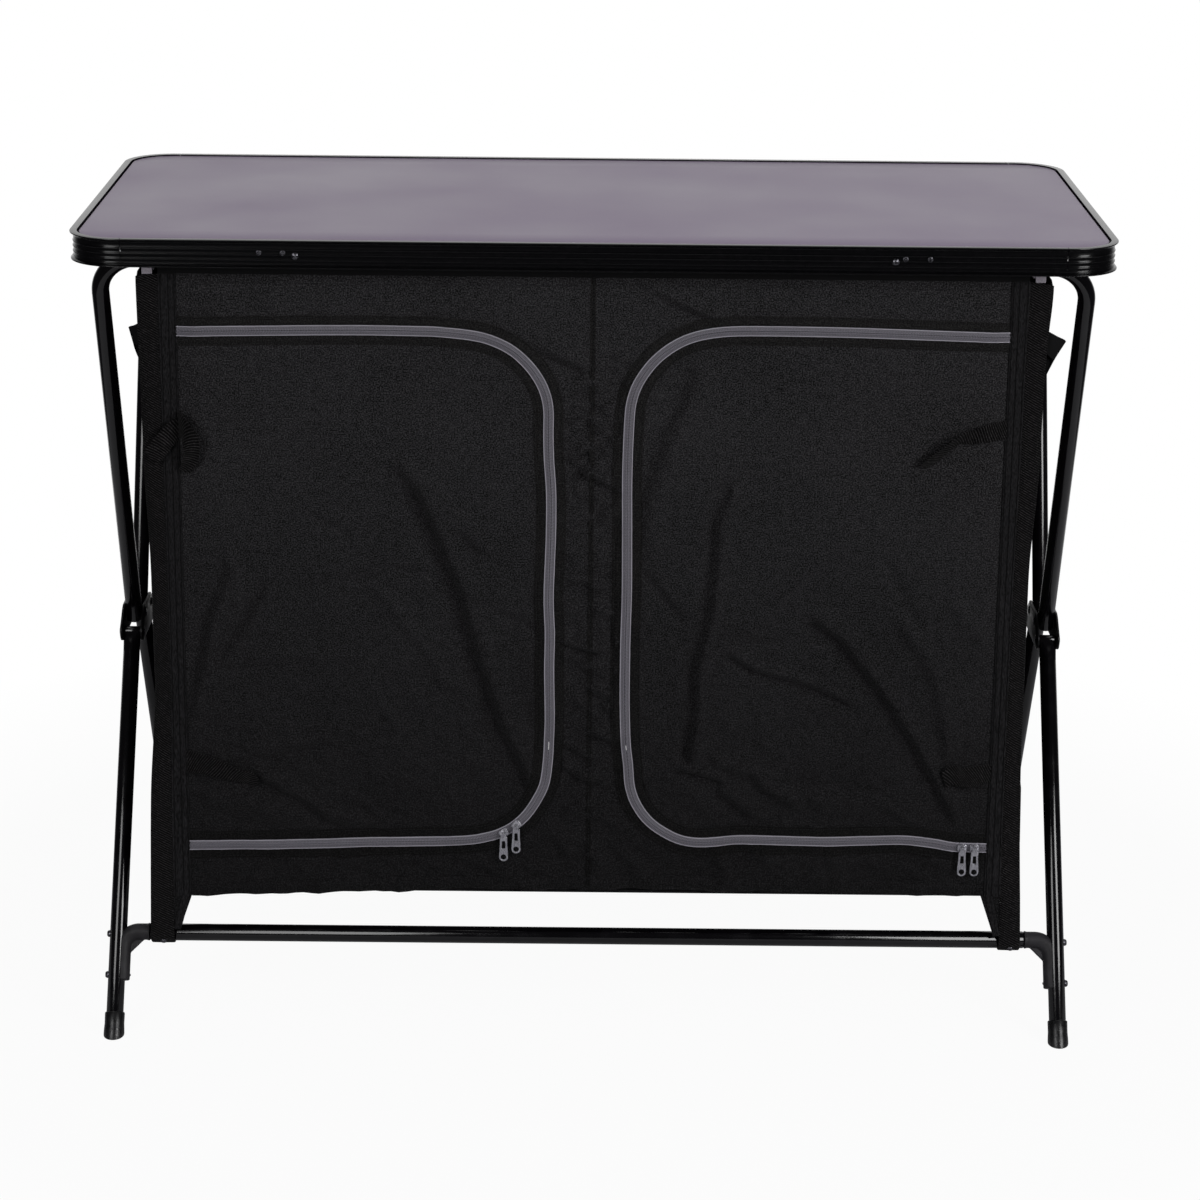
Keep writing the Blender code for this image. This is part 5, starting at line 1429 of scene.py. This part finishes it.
def makeInside():
    wide, reach, lining = cloth["side"] - 0.0022, cloth["depth"], looks["lining"]
    for title, z, half, node, drop in levels:
        def place(u, v):
            low = z - drop * (1 - (v / reach) ** 2) * abs(math.sin(math.pi * u / wide)) ** 0.7
            return Vector(drawIn(np.array([[u, v, low]]))[0])
        for word, side in walls:
            y0, y1 = side * cloth["slit"], side * reach
            loop = [(-wide, y0), (wide, y0), (wide, y1), (-wide, y1)]
            hang(title + word.title(), side, half, [loop], place, lining, node,
                 flat=(2 * wide, reach), held="stretched", rests_on=[f"leftSide{word.title()}Upper"])

    def place(u, v):
        return Vector((0.0015 * math.sin(14 * u + 9 * v) * math.cos(7.7 * u), u, v))
    over, under, (low, high) = divider["over"], divider["under"], cloth["shelves"]
    bays = [(cloth["crease"] + cloth["cut"], low - under), (low + over, high - under), (high + over, cloth["top"])]
    bottom = [(cloth["floor"] + divider["low"], cloth["crease"] - cloth["cut"])]
    for word, side in walls:
        y0, y1 = side * cloth["slit"], side * (reach - divider["narrower"])
        for half, spans, node in (("Upper", bays, "divider"), ("Lower", bottom, None)):
            loops = [[(y0, a), (y1, a), (y1, b), (y0, b)] for a, b in spans]
            hang(f"divider{word.title()}{half}", side, half, loops, place, lining, node,
                 held="hung", rests_on=[word + "Sleeve"], **measures(loops))
    print("inside done")


def freeRibbon(name, edges, look, steps=6):  # pairs of edge points along a loose strap
    a, b = (curved(np.array(points, float), steps) for points in zip(*edges))
    across = 7
    points, uv, faces, length = [], [], [], 0.0
    for i in range(len(a)):
        length += float(np.linalg.norm((a[i] + b[i] - a[i - 1] - b[i - 1]) / 2)) if i else 0.0
        for k in range(across):
            t = k / (across - 1)
            points.append(a[i] * (1 - t) + b[i] * t)
            uv.append((t * float(np.linalg.norm(b[i] - a[i])), length))
    for i in range(0, (len(a) - 1) * across, across):
        faces += [(i + k, i + k + 1, i + across + k + 1, i + across + k) for k in range(across - 1)]
    return thicken(build(name, points, faces, look, uv, turnOut=False), cloth["thick"], 0)


def edgePairs(numbers):
    points = cut(numbers, 3)
    return list(zip(points[::2], points[1::2]))


# Tie straps, sewn in the bound seams: the door they ride on, then pairs of edge points in tenths of a millimetre,
# x, distance in front of the cloth, z
ties = {
    "leftUpperTieEnd": (None, (-3985, 22, 6320, -3985, 22, 6087, -4080, 50, 6262, -4035, 55, 6040, -4200, 62, 6130,
                               -4110, 68, 5940, -4315, 46, 5991, -4191, 56, 5849)),
    "leftUpperTieLoop": ("left", (-3990, 10, 6370, -3990, 10, 6120, -3930, 110, 6360, -3945, 60, 6120, -3850, 170,
                                  6280, -3930, 110, 6060, -3770, 150, 6120, -3925, 120, 5980, -3785, 90, 5920, -3955,
                                  80, 5880, -3880, 35, 5765, -3990, 30, 5790)),
    "rightUpperTie": ("right", (3990, 8, 6360, 3990, 8, 6175, 3880, 40, 6350, 3870, 42, 6170, 3770, 70, 6330, 3730,
                                60, 6155, 3660, 85, 6290, 3640, 20, 6135, 3560, 120, 6260, 3530, 20, 6130, 3400, 130,
                                6150, 3430, 20, 6050, 3260, 100, 6030, 3330, 18, 5960, 3140, 60, 5915, 3230, 16, 5890)),
    "leftLowerTie": ("left", (-3990, 8, 2900, -3990, 8, 2683, -3860, 40, 2890, -3880, 40, 2680, -3720, 75, 2868,
                              -3770, 60, 2672, -3600, 100, 2820, -3610, 60, 2635, -3470, 120, 2755, -3490, 40, 2602,
                              -3330, 110, 2725, -3400, 20, 2575, -3270, 60, 2640, -3310, 14, 2535)),
    "rightLowerTie": ("right", (3990, 8, 2836, 3990, 8, 2648, 3860, 45, 2830, 3880, 45, 2640, 3700, 85, 2822, 3775,
                                90, 2634, 3630, 130, 2870, 3680, 85, 2640, 3570, 110, 2850, 3600, 40, 2640, 3490, 50,
                                2780, 3545, 16, 2610))}


# Loops of webbing on the side panels, folded out past the corner straps: pairs of edge points
sideLoops = {
    "leftSideLoop": (-4352, -2000, 7218, -4345, -2000, 7010, -4400, -1990, 7192, -4375, -1985, 7000, -4450, -1960,
                     7166, -4405, -1955, 6989, -4395, -1925, 7100, -4385, -1925, 6890, -4345, -1910, 7020, -4355,
                     -1915, 6806),
    "rightSideLoop": (4358, -2000, 7224, 4345, -2000, 7010, 4440, -1992, 7178, 4380, -1985, 6975, 4533, -1955, 7118,
                      4417, -1950, 6926, 4430, -1920, 7060, 4385, -1920, 6815, 4335, -1905, 6960, 4339, -1910, 6694)}


def makeTies():
    for name, (door, numbers) in ties.items():
        ends = [[onWall(-1, float(sag(x, z)) + out + 0.0006)(x, z) for x, out, z in pair]
                for pair in edgePairs(numbers)]
        tie = freeRibbon(name, ends, looks["webbing"])
        sx = -1 if numbers[0] < 0 else 1
        if door and ends[0][0][2] > cloth["crease"]:
            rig.blend(tie, "front_cloth_upper", "door_" + door, start=(sx * 0.400, 0, 0.6), end=(sx * 0.380, 0, 0.6))
        else:
            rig.ride(tie, f"door_{door}_hem" if door else "front_cloth_upper")
    for name, numbers in sideLoops.items():
        # the side loops take the near-black sleeve look: painted shade on their sideways faces
        settle(freeRibbon(name, edgePairs(numbers), looks["sleeve"], 8), "front_cloth_upper")


# Sliders and pullers: outlines round the middle, x and y in tenths of a millimetre, and depths in metres
slider = {"shape": (0.0047, 0.0042), "round": 0.0016, "deep": 0.0030, "rim": 0.0008, "crown": 0.62, "crownDeep": 0.0009,
          "crownOut": 0.0033, "out": 0.0010, "front": 0.0038, "wire": 0.0006, "eye": 0.0021,
          "arch": ((-0.0031, 0.0010), (-0.0031, -0.0015), (-0.0029, -0.0021), (-0.0024, -0.0022)),
          "tab": (-21, -12, -21, -22, -36, -36, -37, -120, -43, -190), "wide": 0.0045, "long": 0.0290, "thick": 0.0012,
          "hole": 0.0028, "slot": (-15, -75, 15, -75, 19, -155, -19, -155), "thin": 0.0003,
          "loop": (10, 19, 17, 19, 17, -19, 10, -19, 10, 19)}


def makeSliders():
    look, deep, wide = looks["zipMetal"], slider["deep"] / 2, slider["wide"]
    half, high = slider["shape"]
    shape = [(-half, -high * 0.72), (half * 0.25, -high), (half, -high * 0.8)]
    shape = fillet(shape + [(a, -b) for a, b in reversed(shape)], slider["round"], 4)
    small = [(a * slider["crown"], b * slider["crown"]) for a, b in shape]
    back, front = -(cloth["face"] + slider["out"]), -(cloth["face"] + slider["front"])
    eye = front - slider["eye"]
    for name, (x, z, lean) in sliders.items():
        sx = -1 if name.startswith("left") else 1
        turn = Matrix.Translation((x, 0, z)) @ Matrix.Rotation(math.radians(lean * sx), 4, "Y")
        body = plate("body", [shape], slider["deep"], slider["rim"], look, turn @ uprightFront(back - deep))
        raised = turn @ uprightFront(back - slider["crownOut"])
        crown = plate("crown", [small], slider["crownDeep"], slider["thin"], look, raised)
        arch = [(x + s * a, front + b, z) for s in (1, -1) for a, b in slider["arch"][::s]]
        bridge = sweep("bridge", arch, circle(slider["wire"], 12), look)
        title = name.replace("_", "Zip")
        settle(joined(title + "Slider", [body, crown, bridge]), "slider_" + name, f"zip_{name}_slider")
        ring = (x, z - slider["long"] + wide)
        left = [(x + a, z + b) for a, b in cut(slider["tab"])]
        outline = left + turnPoints(ring, wide, 180, 360, 24) + [(2 * x - a, b) for a, b in reversed(left)]
        ends = [fillet(part, 0.0006, 2, closed=False) for part in (outline[:5], outline[-5:])]
        slot = fillet([(x + a, z + b) for a, b in cut(slider["slot"])], 0.0009)
        outlines = [ends[0] + outline[5:-5] + ends[1], circle(slider["hole"], 28, ring), slot]
        tab = plate("tab", outlines, slider["thick"], slider["thin"], look, uprightFront(eye))
        loop = turned("loop", cut(slider["loop"]), look, along((x, eye, z), (1, 0, 0)), 20)
        settle(joined(title + "Puller", [tab, loop]), "puller_" + name, f"zip_{name}_puller")
    print("sliders done")


def makeCupboard():
    zips = makeZips()
    for name, _ in hands:
        makeDoor(name, zips[name, name])
    print("doors done")
    for side in (-1, 1):
        extras = makeSeams(side) + [makeStrapRivets(side)]
        makeWall(side, extras + (zips["left", None] + zips["right", None] if side < 0 else []))
    print("walls done")
    makeSides()
    makeInside()
    makeTies()
    makeSliders()


# Studio: a pale round floor that fades into white, a white backdrop behind, a dim room in front and soft boxes
studio = {"floor": tone(198, 198, 201), "reach": 1.25, "glow": (0.72, 1.12, 0.95, 1.0), "room": 0.04,
          "roomTint": (0.94, 0.95, 1.0, 1), "backdrop": (0.55, 0.92), "spill": 0.6,
          "boxes": (("leftBox", (-1.50, -2.75, 1.55), (0, 0, 0.45), 1.20, 1.80, 37),
                    ("rightBox", (2.15, -2.45, 1.55), (0, 0, 0.45), 1.20, 1.80, 66),
                    ("topBox", (0, 0.40, 3.20), (0, 0, 0.80), 3.00, 2.60, 30))}


def makeStudio():
    rim = [(a, b, 0) for a, b in circle(studio["reach"], 96)]
    floor = build("studioFloor", rim, [tuple(range(96))], None, turnOut=False)
    look = Look("studioFloor", None, Roughness=0.9, Base_Color=studio["floor"], Specular_IOR_Level=0.1)
    floor.data.materials.append(look.material)
    white = {"Color": (1, 1, 1, 1), "Strength": 1.0}
    away = look.add("ShaderNodeVectorMath", {"operation": "LENGTH"}, {0: look.at()}, "Value")
    share = look.add("ShaderNodeLightPath", output="Is Camera Ray") * look.ramp(away, *studio["glow"])
    inputs = {0: share, 1: Wire(look, look.shader.outputs[0]), 2: look.add("ShaderNodeEmission", None, white)}
    mixed = look.add("ShaderNodeMixShader", None, inputs)
    look.feed(look.nodes["Material Output"].inputs["Surface"], mixed)
    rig.stage(floor)
    world = bpy.data.worlds.new("studio")
    bpy.context.scene.world = world
    world.use_nodes = True
    sky = NodeTree(world.node_tree)
    room = sky.add("ShaderNodeBackground", None, {"Color": studio["roomTint"], "Strength": studio["room"]})
    behind = sky.ramp(sky.part(sky.add("ShaderNodeTexCoord", output="Generated"), 1), *studio["backdrop"])
    rays = [sky.add("ShaderNodeLightPath", output=f"Is {kind} Ray") for kind in ("Camera", "Glossy", "Transmission")]
    spill = (rays[1] + rays[2]) * (1 - studio["spill"]) + studio["spill"]
    share = rays[0] + (1 - rays[0]) * behind * spill
    whole = sky.add("ShaderNodeMixShader", None, {0: share, 1: room, 2: sky.add("ShaderNodeBackground", None, white)})
    sky.feed(sky.nodes["World Output"].inputs["Surface"], whole)
    for name, place, target, wide, high, power in studio["boxes"]:
        lamp = bpy.data.lights.new(name, "AREA")
        lamp.shape, lamp.size, lamp.size_y, lamp.energy = "RECTANGLE", wide, high, power
        box = inScene(name, lamp)
        box.location = place
        box.rotation_euler = (Vector(target) - Vector(place)).to_track_quat("-Z", "Y").to_euler()
    bpy.context.scene.view_settings.view_transform = "Standard"
    print("studio done")


makeCamera()
looks = makeLooks()
rivetTree, stitchTree = makeRivetTree(), makeStitchTree()
makeTabletop()
for word, side in walls:
    makeUpperFrame(word, side)
    makeLowerFrame(word, side)
print("frame done")
makeHubs()
net = makeRelief()
makeCupboard()
makeStudio()
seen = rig.bounds()
with open("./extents.json", "w") as record:
    json.dump({"cad": [list(corner) for corner in cadBox], "visual": [list(corner) for corner in seen]}, record)
